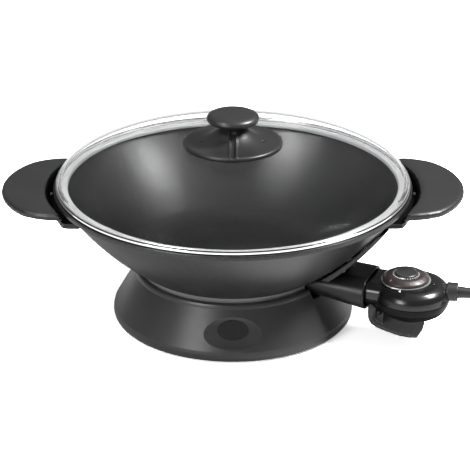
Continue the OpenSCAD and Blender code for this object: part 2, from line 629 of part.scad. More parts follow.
// ---- plug-in control ----
seam_z = 51;                                 // parting line of the two covers
shell_t = 2.4;                               // wall of the covers
nose_u = 118;                                // front face of the nose
nose_hw = 23;
nose_low = 45.4;
nose_top = 64;
chin_low = 38.5;
dial_u = body_u - 7.3;                       // centre of the dial
seat_z = body_top - 0.6;                     // face that the dial turns on
outlet_z = 58.2;                             // height of the lead's outlet
outlet_turn = 12;                            // the outlet's turn from the control's line
outlet_d = 20;
outlet_u = body_r - 1.5;                     // its distance from the body's middle

// Round body in section, drawn in by inset
module body_section(inset) {
  r = body_r - inset;
  top = body_top - inset;
  low = body_low + inset;
  mid = seam_z;
  polygon([[0, low], [r - 17, low], [r - 11, low + 1.6], [r - 6, low + 4.6], [r - 2.6, low + 9],
           [r - 0.6, mid - 3], [r, mid], [r, mid + 2], [r - 0.9, top - 10], [r - 3, top - 6], [r - 6.4, top - 2.8],
           [r - 10, top - 0.9], [r - 15, top], [0, top]]);
}
module nose_section(inset) {
  w = nose_hw - inset;
  low = nose_low + inset;
  top = nose_top - inset;
  c = 5 - inset;
  hull() for (s = [-1, 1]) {
    translate([s * (w - c), top - c]) circle(r = c, $fn = 32);
    translate([s * (w - c + 2), low + c - 2]) circle(r = c - 2, $fn = 32);
  }
}
// Deeper underside of the neck outside the socket
module chin_section(inset) {
  w = nose_hw - 3 - inset;
  hull() {
    translate([-w, seam_z - 3]) square([2 * w, 2]);
    for (s = [-1, 1]) translate([s * (w - 6), chin_low + inset + 5]) circle(r = 5, $fn = 32);
  }
}
module probe_solid(inset) {
  translate([body_u, 0, 0]) rotate_extrude() body_section(inset);
  along_u(nose_u + inset, body_u - 8) nose_section(inset);
  along_u(mouth_u + 6.2 + inset, body_u - 12) chin_section(inset);
  translate([dial_u, 0, seam_z]) cylinder(r = dial_r + 2 - inset, h = seat_z - seam_z - inset);
  at_outlet() translate([outlet_u - 10, 0, 0]) rod_x(outlet_d - 2 * inset, 10 - inset);
}
// Frame on the middle of the body: X out along the lead's outlet
module at_outlet() { translate([body_u, 0, outlet_z]) rotate([0, 0, outlet_turn]) children(); }
module half_space(upper) {
  translate([nose_u - 20, -60, upper ? seam_z + face / 2 : 0]) cube([160, 120, upper ? 60 : seam_z - face / 2]);
}
screw_spots = [[body_u - 22, 16], [body_u - 22, -16], [body_u + 20, 12], [body_u + 20, -12]];
// Room for the strain relief: its collar outside the covers, its neck through their wall
module relief_room() {
  at_outlet() translate([outlet_u + face, 0, 0]) rod_x(20.4, 20);
  at_outlet() translate([outlet_u - 8, 0, 0]) rod_x(16.2, 20);
}
module front_holes() {
  for (s = [-1, 1]) translate([nose_u - 2, s * pin_gap, pin_z]) rod_x(socket_d + 2 * fit, 10);
  translate([nose_u - 2, 0, pin_z]) rod_x(rod_d + 2 * fit, 10);
}
module probe_top_cover() {
  color(black) rotate([0, 0, -probe_az]) difference() {
    intersection() { probe_solid(0); half_space(true); }
    probe_solid(shell_t);
    front_holes();
    relief_room();
    translate([dial_u, 0, seam_z]) cylinder(d = 6.6, h = 40);
    translate([lamp_u, lamp_v, 50]) cylinder(d = 5 + 2 * fit, h = 40);
    translate([dial_u, 0, seat_z - 0.6]) ring_at(dial_r + 1.5, dial_r - 0.4, 0, 3);
  }
}
module probe_bottom_cover() {
  color(black) rotate([0, 0, -probe_az]) {
    difference() {
      union() {
        difference() {
          intersection() { probe_solid(0); half_space(false); }
          probe_solid(shell_t);
        }
        // posts for the screws
        intersection() {
          for (p = screw_spots) translate([p[0], p[1], body_low + 1]) cylinder(d = 7, h = seam_z - body_low - 3);
          probe_solid(1);
        }
        // ears for the lever's pin
        for (s = [-1, 1]) translate([pivot_u, s * (lever_w / 2 - 4) - 1.5, pivot_z]) ear();
      }
      front_holes();
      relief_room();
      for (p = screw_spots) translate([p[0], p[1], 0]) {
        cylinder(d = screw_d + 2 * fit, h = seam_z + 10);
        cylinder(d = 6.6, h = body_low + 6);
      }
      translate([pivot_u, 0, pivot_z]) rotate([90, 0, 0]) cylinder(d = 3 + 2 * fit, h = 60, center = true);
    }
  }
}
module probe_screws() {
  color(steel) rotate([0, 0, -probe_az]) for (p = screw_spots) translate([p[0], p[1], body_low + 6 - 2.2]) {
    cylinder(d = 6.2, h = 2.2 - fit);
    cylinder(d = screw_d, h = seam_z - body_low - 5.5);
  }
}
lamp_u = body_u + 20.5;
lamp_v = 0;
module dial_bezel() {
  color(steel) rotate([0, 0, -probe_az]) translate([dial_u, 0, 0]) ring_at(dial_r + 1.4, dial_r - 0.3, seat_z - 0.55, 1.1);
}
dial_z = seat_z + 0.85;                      // underside of the dial
module dial_knob() {
  hub_top = dial_z + dial_h + 1.8;
  color(black) rotate([0, 0, -probe_az]) translate([dial_u, 0, 0]) difference() {
    rotate_extrude() polygon([[0, dial_z], [dial_r - 1, dial_z], [dial_r, dial_z + 0.4], [dial_r, dial_z + 1.5],
      [dial_cap_r, dial_z + 1.5], [dial_cap_r, hub_top - 1.4], [dial_cap_r - 0.5, hub_top - 0.4],
      [dial_cap_r - 1.4, hub_top], [dial_cap_r - 2.4, hub_top - 0.3], [0, hub_top - 0.6]]);
    translate([0, 0, dial_z - 1]) cylinder(d = 6 + 2 * fit, h = dial_h);
  }
}
module dial_scale_ring() {
  color([0.3, 0.06, 0.07]) rotate([0, 0, -probe_az]) translate([dial_u, 0, 0]) rotate_extrude()
    polygon([[dial_cap_r + fit, dial_z + 1.5 + fit], [dial_r, dial_z + 1.5 + fit], [dial_r - 0.1, dial_z + 2.4],
      [19.2, dial_z + dial_h - 0.6], [18.2, dial_z + dial_h], [dial_cap_r + fit, dial_z + dial_h + 0.3]]);
}
shaft_low = 57.5;
module dial_shaft() {
  color(steel) rotate([0, 0, -probe_az]) translate([dial_u, 0, 0]) {
    translate([0, 0, shaft_low]) cylinder(d = 6, h = dial_z + dial_h - 1.2 - shaft_low);
    translate([0, 0, shaft_low + 1.4]) cylinder(d = 10, h = 2);
  }
}
module thermostat() {
  tu = dial_u - 20;
  color(steel) rotate([0, 0, -probe_az]) difference() {
    union() {
      translate([tu - 12, -7, pin_z + 3]) cube([38, 14, 1.2]);         // bracket
      translate([tu - 12, -7, pin_z - 5]) cube([1.6, 14, 9]);
      translate([tu - 8, -4, pin_z - 3]) cube([8, 8, 7]);            // stack of insulators
      translate([tu - 3, -3, pin_z - 2]) cube([28, 6, 0.8]);           // blade
      translate([tu + 21, 0, pin_z - 1.4]) cylinder(d = 4, h = 3);     // contact
    }
    translate([tu - 14, 0, pin_z]) rod_x(rod_d + 2 * fit, 5);
    translate([dial_u, 0, shaft_low - gap]) cylinder(d = 11, h = 10);
  }
}
socket_d = 8;
module contact_sockets() {
  color(brass) rotate([0, 0, -probe_az]) for (s = [-1, 1]) translate([nose_u + 0.4, s * pin_gap, pin_z])
    rotate([0, 90, 0]) difference() {
      union() {
        cylinder(d = socket_d, h = 24);
        translate([-1, -0.4, 22]) cube([2, 0.8, 12]);
      }
      translate([0, 0, -1]) cylinder(r = pin_r + fit, h = 20);
    }
}
rod_u0 = heat_r + 10;
module sensor_rod() {
  color(steel) rotate([0, 0, -probe_az]) translate([rod_u0, 0, pin_z]) {
    translate([1.2, 0, 0]) rod_x(rod_d, dial_u - 20 - 12 - 1.2 - rod_u0 + 1.4);
    rotate([0, 90, 0]) cylinder(d1 = rod_d - 2, d2 = rod_d, h = 1.2 + eps);
  }
}
module indicator_lamp() {
  color([0.5, 0.05, 0.05]) rotate([0, 0, -probe_az]) translate([lamp_u, lamp_v, 0]) rotate_extrude()
    polygon([[0, body_top - 8], [2.5, body_top - 8], [2.5, body_top - 0.4], [1.9, body_top + 0.2], [0, body_top + 0.5]]);
}
pivot_u = mouth_u + 12;
pivot_z = 33;
module ear() {
  rotate([-90, 0, 0]) linear_extrude(3) hull() {
    circle(r = 3.4, $fn = 32);
    translate([-3.4, -(chin_low + 1 - pivot_z)]) square([6.8, 0.5]);
  }
}
// Side view of the lever: a toe against the socket's mouth, a pivot, and a long curved tail
lever_out = [[1.5, 8.4], [1.5, -1], [2, -7.5], [5, -12.5], [11, -15.6], [22, -18.4], [34, -20.4], [45, -20.6], [54, -19.4]];
lever_in = [[53.4, -16.5], [44.8, -17.6], [34.2, -17.4], [22.6, -15.5], [12.2, -12.8], [7.4, -10.4], [4.9, -6.5],
            [4.5, -0.6], [4.5, 8.4]];
module ejector_lever() {
  color(charcoal) rotate([0, 0, -probe_az]) difference() {
    union() {
      intersection() {
        translate([mouth_u, lever_w / 2, pivot_z]) rotate([90, 0, 0]) linear_extrude(lever_w)
          polygon(concat(lever_out, lever_in));
        // the tail's end is cut at a slant
        linear_extrude(100) polygon([[mouth_u - 10, -lever_w], [mouth_u + 57, -lever_w / 2 - 1],
          [mouth_u + 51, lever_w / 2 + 1], [mouth_u - 10, lever_w]]);
      }
      for (s = [-1, 1]) translate([pivot_u, s * (lever_w / 2 - 8) - 1.25, pivot_z]) rotate([-90, 0, 0])
        linear_extrude(2.5) hull() {
          circle(r = 3.4, $fn = 32);
          translate([-4, 13]) square([7, 1.4]);
        }
    }
    translate([pivot_u, 0, pivot_z]) rotate([90, 0, 0]) cylinder(d = 3 + 4 * fit, h = 60, center = true);
  }
}
module lever_pin() {
  color(steel) rotate([0, 0, -probe_az]) translate([pivot_u, 0, pivot_z]) rotate([90, 0, 0])
    cylinder(d = 3, h = lever_w - 5, center = true);
}

// ---- lead ----
relief_u0 = outlet_u - 5.6;                  // inner end of the strain relief
collar_len = 11;
relief_len = 14.4;                           // tapered sleeve beyond the collar
relief_end = outlet_u + gap + collar_len + relief_len;
module strain_relief() {
  color(black) rotate([0, 0, -probe_az]) at_outlet() translate([relief_u0, 0, 0]) rotate([0, 90, 0]) rotate_extrude()
    polygon([[0, 0], [7.9, 0], [7.9, outlet_u + gap - relief_u0], [9.4, outlet_u + gap - relief_u0], [9.6, outlet_u + gap + 1 - relief_u0],
      [9.4, outlet_u + gap + collar_len - 1 - relief_u0], [8.8, outlet_u + gap + collar_len - relief_u0],
      [6, outlet_u + gap + collar_len - relief_u0], [cord_d / 2 + 0.5, relief_end - relief_u0],
      [0, relief_end - relief_u0]]);
}
// Points of the lead between the control and the coil, chosen by hand
lead_az = probe_az - outlet_turn;
exit_dir = [cos(lead_az), -sin(lead_az), 0];
exit_at = [body_u * cos(probe_az), -body_u * sin(probe_az), outlet_z] + exit_dir * relief_end;
lead_knots = [[259, -85.5, 56], [274, -88.5, 49], [285, -91.5, 37.5], [296, -94.5, 26], [311, -97, 18.5]];
coil_c = [346, -38];                         // centre of the coil
low_z = cord_d / 2 + 1.4;                    // height of the coil's lower layer
pitch = cord_d + turn_gap;
top_z = low_z + pitch;
start_a = -90;                               // where the lead joins the coil
half_turns = coil_turns / 2 + 45 / 360;      // turns on each layer
outer_r = coil_r + pitch * half_turns / 2;
turn_rings = 24;
// Turning the coil: t counts turns from the start; in on the upper layer, out on the lower
function swing(t) = abs(t - half_turns);
function drop(t) = min(1, max(0, (t - half_turns) * 2 + 0.5));
function coil_at(t) = let (a = start_a + 360 * t, r = outer_r - pitch * (half_turns - swing(t)))
  [coil_c[0] + r * cos(a), coil_c[1] + r * sin(a), lerp(top_z, low_z, drop(t))];
function coil_way(t) = unit(coil_at(t + 0.002) - coil_at(t - 0.002));
coil_start_way = let (w = coil_way(0)) unit([w[0], w[1], 0]);
coil_end_way = let (w = coil_way(2 * half_turns)) unit([w[0], w[1], 0]);
coil_count = ceil(2 * half_turns * turn_rings);
coil_path = concat([coil_at(0) - coil_start_way * cord_d],
  [for (i = [0:coil_count]) coil_at(2 * half_turns * i / coil_count)],
  [coil_at(2 * half_turns) + coil_end_way * cord_d]);
coil_in = coil_path[0];
coil_out = coil_path[len(coil_path) - 1];
// Catmull-Rom curve through knots
function mid_pt(p0, p1, p2, p3, t) = 0.5 * ((2 * p1) + (p2 - p0) * t + (2 * p0 - 5 * p1 + 4 * p2 - p3) * t * t
  + (3 * p1 - p0 - 3 * p2 + p3) * t * t * t);
function smooth_path(k, n) = concat([for (i = [1:len(k) - 3]) for (j = [0:n - 1])
  mid_pt(k[i - 1], k[i], k[i + 1], k[i + 2], j / n)], [k[len(k) - 2]]);
lead_path = concat([exit_at], smooth_path(concat([exit_at, exit_at + exit_dir * cord_d], lead_knots,
  [coil_in - coil_start_way * cord_d, coil_in]), 2), [coil_in]);
plug_z = 19;
plug_at = coil_out + [3, 56, plug_z - coil_out[2]];
plug_way = [0, 1, 0];
tail_knots = [coil_out + [1, 20, 2], coil_out + [2.6, 36, 9.4]];
tail_path = concat([coil_out], smooth_path(concat([coil_out, coil_out + coil_end_way * cord_d], tail_knots,
  [plug_at - plug_way * cord_d, plug_at]), 2), [plug_at]);

// Tube swept along points; every ring stands square to the path
function way_at(p, i) = i == 0 ? unit(p[1] - p[0]) : i == len(p) - 1 ? unit(p[i] - p[i - 1])
  : unit(unit(p[i + 1] - p[i]) + unit(p[i] - p[i - 1]));
function ring_pts(c, w, r, n) = let (side = unit(cross(w, [0, 0, 1])), up = cross(side, w))
  [for (k = [0:n - 1]) c + r * (cos(k * 360 / n) * side + sin(k * 360 / n) * up)];
module tube(p, r, n) {
  m = len(p);
  pts = [for (i = [0:m - 1]) each ring_pts(p[i], way_at(p, i), r, n)];
  walls = [for (i = [0:m - 2]) for (k = [0:n - 1]) let (a = i * n + k, b = i * n + (k + 1) % n)
    each [[a, b, b + n], [a, b + n, a + n]]];
  caps = concat([for (k = [1:n - 2]) [0, k + 1, k]],
    [for (k = [1:n - 2]) [(m - 1) * n, (m - 1) * n + k, (m - 1) * n + k + 1]]);
  polyhedron(points = pts, faces = concat(walls, caps));
}
// Least gap of the coil to itself, measured between its ring centres
least_gap = min([for (i = [0:3:len(coil_path) - 1]) for (j = [i + 10:1:len(coil_path) - 1])
  norm(coil_path[i] - coil_path[j])]) - cord_d;
echo(coil_gap = least_gap);
function path_len(p) = len(p) < 2 ? 0 : [for (i = 0, s = 0; i < len(p); s = s + (i + 1 < len(p) ? norm(p[i + 1] - p[i]) : 0), i = i + 1) s][len(p) - 1];
echo(cord_length = path_len(lead_path) + path_len(coil_path) + path_len(tail_path));

module cord_lead() { color(black) tube(lead_path, cord_d / 2, 8); }
module cord_coil() { color(black) tube(coil_path, cord_d / 2, 6); }
module cord_tail() { color(black) tube(tail_path, cord_d / 2, 8); }
tie_a = 150;                                 // place of the tie on the coil
module cord_tie() {
  r_in = outer_r - pitch * half_turns - cord_d / 2 - 1.2;
  r_out = outer_r + cord_d / 2 + 1.2;
  z1 = top_z + cord_d / 2 + 0.8;
  color(black) translate([coil_c[0], coil_c[1], 0]) rotate([0, 0, tie_a]) translate([0, 4, 0]) rotate([90, 0, 0])
    linear_extrude(8) difference() {
      translate([r_in - 0.9, 0.2]) square([r_out - r_in + 1.8, z1 + 0.7]);
      translate([r_in, 1]) square([r_out - r_in, z1 - 1]);
    }
}
module mains_plug() {
  pr = plug_z - 0.05;
  color(black) translate(plug_at) rotate([-90, 0, 0]) difference() {
    rotate_extrude() polygon([[0, 0], [cord_d / 2 + 0.6, 0], [cord_d / 2 + 1, 3], [7.4, 20], [9, 24], [13, 28],
      [pr - 2, 33], [pr - 0.6, 35], [pr, 38], [pr, 50], [pr - 0.8, 51.4], [pr - 2, 52], [0, 52]]);
    for (s = [-1, 1]) translate([s * 9.5, 0, 40]) cylinder(d = 4.8 + 2 * fit, h = 20);
    translate([0, 10, 36]) cylinder(d = 5, h = 20);
    for (s = [-1, 1]) translate([s * (pr + 6), 0, 26]) cylinder(r = 8, h = 18);
  }
}
module plug_pins() {
  color(steel) translate(plug_at) rotate([-90, 0, 0]) for (s = [-1, 1]) translate([s * 9.5, 0, 40 + fit]) {
    cylinder(d = 4.8, h = 30);
    translate([0, 0, 30 - eps]) cylinder(d1 = 4.8, d2 = 2.6, h = 1.2);
  }
}

base_skirt();
base_plate();
base_badge();
rubber_feet();
base_screws();
seat_pads();
wok_bowl();
heating_element();
terminal_bushes();
terminal_plate();
socket_shroud();
shroud_saddle();
shroud_screws();
handle_left();
handle_right();
handle_screws();
lid_glass();
lid_rim();
knob_flare();
knob_cap();
knob_insert();
knob_gasket();
knob_screw();
probe_top_cover();
probe_bottom_cover();
probe_screws();
dial_bezel();
dial_knob();
dial_scale_ring();
dial_shaft();
thermostat();
contact_sockets();
sensor_rod();
indicator_lamp();
ejector_lever();
lever_pin();
strain_relief();
cord_lead();
cord_coil();
cord_tail();
cord_tie();
mains_plug();
plug_pins();
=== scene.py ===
import bpy
import math
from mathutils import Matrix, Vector


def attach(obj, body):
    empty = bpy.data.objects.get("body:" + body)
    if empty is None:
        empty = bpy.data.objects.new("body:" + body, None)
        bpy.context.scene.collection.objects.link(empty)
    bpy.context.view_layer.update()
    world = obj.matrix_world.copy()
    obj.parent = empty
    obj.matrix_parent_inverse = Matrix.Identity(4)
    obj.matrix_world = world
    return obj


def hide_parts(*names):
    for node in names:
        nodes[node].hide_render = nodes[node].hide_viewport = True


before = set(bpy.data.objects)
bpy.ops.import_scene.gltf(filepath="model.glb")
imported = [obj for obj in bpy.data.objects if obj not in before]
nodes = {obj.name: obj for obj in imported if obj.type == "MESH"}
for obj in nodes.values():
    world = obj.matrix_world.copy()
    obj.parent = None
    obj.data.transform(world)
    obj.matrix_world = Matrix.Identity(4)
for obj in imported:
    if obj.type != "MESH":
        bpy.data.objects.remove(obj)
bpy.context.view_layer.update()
mm = 0.001


print("frame loaded")

# camera
cameraInfo = {"place": (2.09 * mm, -1.8, 0.888), "pitch": 24.06, "pixels": 1935.8, "picture": 470,
              "sensor": 36, "far": 20}


def makeCamera():
    bpy.ops.object.camera_add(location=cameraInfo["place"],
                              rotation=(math.radians(90 - cameraInfo["pitch"]), 0, 0))
    camera = bpy.context.object
    camera.name = "shotCamera"
    camera.data.sensor_width = cameraInfo["sensor"]
    camera.data.lens = cameraInfo["pixels"] * cameraInfo["sensor"] / cameraInfo["picture"]
    camera.data.clip_end = cameraInfo["far"]
    bpy.context.scene.camera = camera


makeCamera()

# the control's own frame: u outward from the wok, v towards the front, in millimetres
controlAngle = math.radians(22)


def atControl(u, v, z):
    c = math.cos(controlAngle)
    s = math.sin(controlAngle)
    return Vector((u * c - v * s, -u * s - v * c, z)) * mm


# materials
def inputOf(node, name):
    return next(i for i in node.inputs if i.name == name)


def objectPlace(tree, size):
    coords = tree.nodes.new("ShaderNodeTexCoord")
    mapping = tree.nodes.new("ShaderNodeMapping")
    mapping.inputs["Scale"].default_value = size if isinstance(size, tuple) else (size, size, size)
    tree.links.new(coords.outputs["Object"], mapping.inputs["Vector"])
    return mapping.outputs["Vector"]


def noiseNode(tree, place, detail=3.0, rough=0.55):
    noise = tree.nodes.new("ShaderNodeTexNoise")
    noise.inputs["Scale"].default_value = 1.0
    noise.inputs["Detail"].default_value = detail
    noise.inputs["Roughness"].default_value = rough
    tree.links.new(place, noise.inputs["Vector"])
    return noise.outputs["Fac"]


def rangeNode(tree, value, low, high, fromLow=0.3, fromHigh=0.7):
    node = tree.nodes.new("ShaderNodeMapRange")
    node.inputs["From Min"].default_value = fromLow
    node.inputs["From Max"].default_value = fromHigh
    node.inputs["To Min"].default_value = low
    node.inputs["To Max"].default_value = high
    tree.links.new(value, node.inputs["Value"])
    return node.outputs["Result"]


def rampNode(tree, value, stops):
    node = tree.nodes.new("ShaderNodeValToRGB")
    ramp = node.color_ramp
    while len(ramp.elements) < len(stops):
        ramp.elements.new(0.5)
    for element, (place, colour) in zip(ramp.elements, stops):
        element.position = place
        element.color = (*colour, 1)
    tree.links.new(value, node.inputs["Fac"])
    return node.outputs["Color"]


def startMaterial(name):
    material = bpy.data.materials.new(name)
    material.use_nodes = True
    tree = material.node_tree
    shader = next(n for n in tree.nodes if n.type == "BSDF_PRINCIPLED")
    return material, tree, shader


# what a look has unless it says otherwise; grain and cloud: features per metre, depth: bump in metres
plainLook = {"shift": 0.12, "grain": 2600, "cloud": 24, "spread": 0.06, "metal": 0, "ior": 1.45, "bump": 0.25,
             "depth": 0.00005}


def makeSurface(name, ownLook):
    look = dict(plainLook, **ownLook)
    material, tree, shader = startMaterial(name)
    base, shift, rough, spread = (look[key] for key in ("base", "shift", "rough", "spread"))
    fine = noiseNode(tree, objectPlace(tree, look["grain"]), 4.0)
    broad = noiseNode(tree, objectPlace(tree, look["cloud"]), 3.0)
    dark = tuple(c * (1 - shift) for c in base)
    light = tuple(min(1, c * (1 + shift)) for c in base)
    colour = rampNode(tree, broad, [(0.3, dark), (0.7, light)])
    if "speck" in look:
        speck = look["speck"]
        dots = noiseNode(tree, objectPlace(tree, speck["grain"]), 1.0, 0.4)
        mask = rangeNode(tree, dots, 0, 1, speck["from"], speck["to"])
        mix = tree.nodes.new("ShaderNodeMixRGB")
        mix.inputs["Color2"].default_value = (*speck["colour"], 1)
        tree.links.new(mask, mix.inputs["Fac"])
        tree.links.new(colour, mix.inputs["Color1"])
        colour = mix.outputs["Color"]
    tree.links.new(colour, inputOf(shader, "Base Color"))
    tree.links.new(rangeNode(tree, fine, max(0.02, rough - spread), min(1, rough + spread)),
                   inputOf(shader, "Roughness"))
    inputOf(shader, "Metallic").default_value = look["metal"]
    inputOf(shader, "IOR").default_value = look["ior"]
    if "fade" in look:
        fade = look["fade"]
        split = tree.nodes.new("ShaderNodeSeparateXYZ")
        tree.links.new(objectPlace(tree, 1), split.inputs[0])
        tree.links.new(rangeNode(tree, split.outputs["Z"], fade["share"], 0.5, fade["from"], fade["to"]),
                       inputOf(shader, "Specular IOR Level"))
    bump = tree.nodes.new("ShaderNodeBump")
    bump.inputs["Strength"].default_value = look["bump"]
    bump.inputs["Distance"].default_value = look["depth"]
    tree.links.new(fine, bump.inputs["Height"])
    tree.links.new(bump.outputs["Normal"], inputOf(shader, "Normal"))
    return material


# speck: paler dots in a coat; fade: less shine towards the bottom of the bowl
plasticLook = {"base": (0.017, 0.017, 0.0175), "rough": 0.42, "grain": 1700, "bump": 0.5, "depth": 0.0001}
glossLook = {"base": (0.006, 0.006, 0.0063), "rough": 0.24, "spread": 0.03, "grain": 700, "bump": 0.06,
             "depth": 0.00004}
coatLook = {"base": (0.009, 0.009, 0.0092), "rough": 0.32, "spread": 0.07, "grain": 1500, "bump": 0.42,
            "depth": 0.00006, "shift": 0.15, "ior": 1.62, "fade": {"share": 0.4, "from": 0.07, "to": 0.11},
            "speck": {"grain": 1500, "from": 0.60, "to": 0.70, "colour": (0.035, 0.035, 0.036)}}
paintLook = {"base": (0.0085, 0.0085, 0.0088), "rough": 0.36, "spread": 0.06, "grain": 1500, "bump": 0.5,
             "depth": 0.00008, "shift": 0.15,
             "speck": {"grain": 1500, "from": 0.58, "to": 0.68, "colour": (0.06, 0.06, 0.061)}}
steelLook = {"base": (0.60, 0.60, 0.61), "rough": 0.3, "metal": 1, "grain": (300, 300, 3000), "bump": 0.1}
zincLook = {"base": (0.52, 0.52, 0.53), "rough": 0.3, "metal": 1, "grain": 1400, "bump": 0.15}
brightLook = {"base": (0.90, 0.905, 0.91), "rough": 0.17, "spread": 0.03, "metal": 0.85,
              "grain": (90, 90, 2600), "bump": 0.04, "shift": 0.03}
rubberLook = {"base": (0.016, 0.016, 0.016), "rough": 0.6, "grain": 1600, "bump": 0.3}
brassLook = {"base": (0.62, 0.42, 0.16), "rough": 0.3, "metal": 1, "grain": 900, "bump": 0.1}
looks = {
    "base_skirt": dict(plasticLook, base=(0.030, 0.030, 0.031), rough=0.36),
    "base_plate": plasticLook,
    "base_badge": dict(plasticLook, base=(0.012, 0.012, 0.0125), rough=0.3),
    "rubber_feet": rubberLook,
    "base_screws": zincLook,
    "seat_pads": rubberLook,
    "wok_bowl": paintLook,
    "bowlInside": coatLook,
    # pale satin metal for the foot ring's wall: partly bare metal, partly painted light, as the bowl's
    # overhang keeps the lamps off it
    "footRingMetalAndLight": {"base": (0.16, 0.16, 0.161), "rough": 0.42, "grain": 1200, "bump": 0.3},
    # painted shade: near-black and dull, for the handles' valleys, the bowl's rim ledge and the control's
    # underside
    "handleValley": dict(plasticLook, base=(0.0035, 0.0035, 0.0036), rough=0.6, ior=1.1),
    # painted shade: black for the groove between the rim's band and bead
    "rimGrooveShade": dict(rubberLook, base=(0.004, 0.004, 0.004), ior=1.2),
    "heating_element": dict(steelLook, base=(0.30, 0.28, 0.25), rough=0.42),
    "terminal_bushes": {"base": (0.72, 0.69, 0.60), "rough": 0.6, "grain": 1800, "shift": 0.05},
    "terminal_plate": steelLook,
    "socket_shroud": dict(plasticLook, base=(0.006, 0.006, 0.0063), rough=0.34, ior=1.35),
    "shroud_saddle": dict(plasticLook, base=(0.008, 0.008, 0.0085), rough=0.38),
    "shroud_screws": zincLook,
    "handle_left": dict(plasticLook, base=(0.013, 0.013, 0.0133), rough=0.38),
    "handle_screws": zincLook,
    "lid_rim": brightLook,
    "rimFlange": dict(brightLook, base=(0.84, 0.84, 0.845), rough=0.38, spread=0.06, metal=0.3, bump=0.05),
    "knob_flare": dict(plasticLook, base=(0.014, 0.014, 0.0144), rough=0.36),
    "knob_insert": brassLook,
    "knob_gasket": dict(rubberLook, base=(0.06, 0.06, 0.06)),
    "knob_screw": steelLook,
    "probe_cover": glossLook,
    # painted shade: a darker, duller copy of the covers' gloss for the lower cover, which faces down
    "coverUnderShade": dict(glossLook, base=(0.004, 0.004, 0.0042), rough=0.4, ior=1.18),
    "probe_screws": zincLook,
    "dial_bezel": brightLook,
    "dial_knob": dict(glossLook, base=(0.022, 0.022, 0.0225), rough=0.36, bump=0.02),
    "dial_shaft": steelLook,
    "thermostat": steelLook,
    "contact_sockets": brassLook,
    "sensor_rod": dict(steelLook, rough=0.22),
    "indicator_lamp": {"base": (0.012, 0.003, 0.003), "rough": 0.2, "grain": 500, "bump": 0.03},
    "ejector_lever": dict(plasticLook, base=(0.19, 0.19, 0.192), rough=0.5),
    "lever_pin": {"base": (0.03, 0.03, 0.031), "rough": 0.4, "metal": 1, "grain": 1200, "bump": 0.1},
    "strain_relief": dict(rubberLook, base=(0.012, 0.012, 0.012), rough=0.42),
    "cord_tie": dict(plasticLook, base=(0.02, 0.02, 0.02)),
    "mains_plug": dict(plasticLook, base=(0.014, 0.014, 0.014), rough=0.4),
    "plug_pins": brightLook,
    "printWhite": {"base": (0.72, 0.72, 0.71), "rough": 0.5, "grain": 1500, "shift": 0.04, "bump": 0.1},
    "printDim": {"base": (0.36, 0.25, 0.25), "rough": 0.5, "grain": 1500, "shift": 0.06, "bump": 0.1},
}
shared = {"handle_right": "handle_left", "knob_cap": "knob_flare", "probe_top_cover": "probe_cover",
          "probe_bottom_cover": "probe_cover"}


# the lid's glass shines little, as its lamps would show in it as spots
lidGlassLook = {"cloud": 14, "tints": [(0.3, (0.975, 0.98, 0.978)), (0.7, (0.99, 0.992, 0.99))],
                "smear": (60, 60, 200), "rough": (0.02, 0.06, 0.45, 0.8), "ior": 1.10, "shine": 0.1}
scaleLook = {"cloud": 300, "tints": [(0.35, (0.015, 0.011, 0.0112)), (0.7, (0.027, 0.0165, 0.0172))],
             "rough": (0.42, 0.5), "coat": 0.05}


def makeGlass(name):
    material, tree, shader = startMaterial(name)
    cloud = noiseNode(tree, objectPlace(tree, lidGlassLook["cloud"]), 2.0)
    tree.links.new(rampNode(tree, cloud, lidGlassLook["tints"]), inputOf(shader, "Base Color"))
    smear = noiseNode(tree, objectPlace(tree, lidGlassLook["smear"]), 3.0)
    tree.links.new(rangeNode(tree, smear, *lidGlassLook["rough"]), inputOf(shader, "Roughness"))
    inputOf(shader, "Transmission Weight").default_value = 1
    inputOf(shader, "IOR").default_value = lidGlassLook["ior"]
    inputOf(shader, "Specular Tint").default_value = (*[lidGlassLook["shine"]] * 3, 1)
    return material


def makeScaleGlass(name):
    material, tree, shader = startMaterial(name)
    cloud = noiseNode(tree, objectPlace(tree, scaleLook["cloud"]), 3.0)
    tree.links.new(rampNode(tree, cloud, scaleLook["tints"]), inputOf(shader, "Base Color"))
    tree.links.new(rangeNode(tree, cloud, *scaleLook["rough"]), inputOf(shader, "Roughness"))
    inputOf(shader, "Coat Weight").default_value = scaleLook["coat"]
    return material


materials = {name: makeSurface(name, look) for name, look in looks.items()}
materials["lid_glass"] = makeGlass("lid_glass")
materials["dial_scale_ring"] = makeScaleGlass("dial_scale_ring")


def dress(piece, material):
    if piece.material_slots:
        for entry in piece.material_slots:
            entry.material = material
    else:
        piece.data.materials.append(material)


for nodeName, nodeObject in nodes.items():
    lookName = shared.get(nodeName, nodeName)
    if lookName in materials:
        dress(nodeObject, materials[lookName])
print("materials made")


# small helpers
def deselectAll():
    bpy.ops.object.select_all(action="DESELECT")


def makeActive(piece):
    deselectAll()
    piece.select_set(True)
    bpy.context.view_layer.objects.active = piece


def fixPlace():
    bpy.ops.object.transform_apply(location=True, rotation=True, scale=True)


def selectMesh(piece):
    makeActive(piece)
    bpy.ops.object.mode_set(mode="EDIT")
    bpy.ops.mesh.select_all(action="SELECT")


def applyModifier(piece, kind, **values):
    makeActive(piece)
    modifier = piece.modifiers.new(kind.lower(), kind)
    for key, value in values.items():
        setattr(modifier, key, value)
    bpy.ops.object.modifier_apply(modifier=modifier.name)


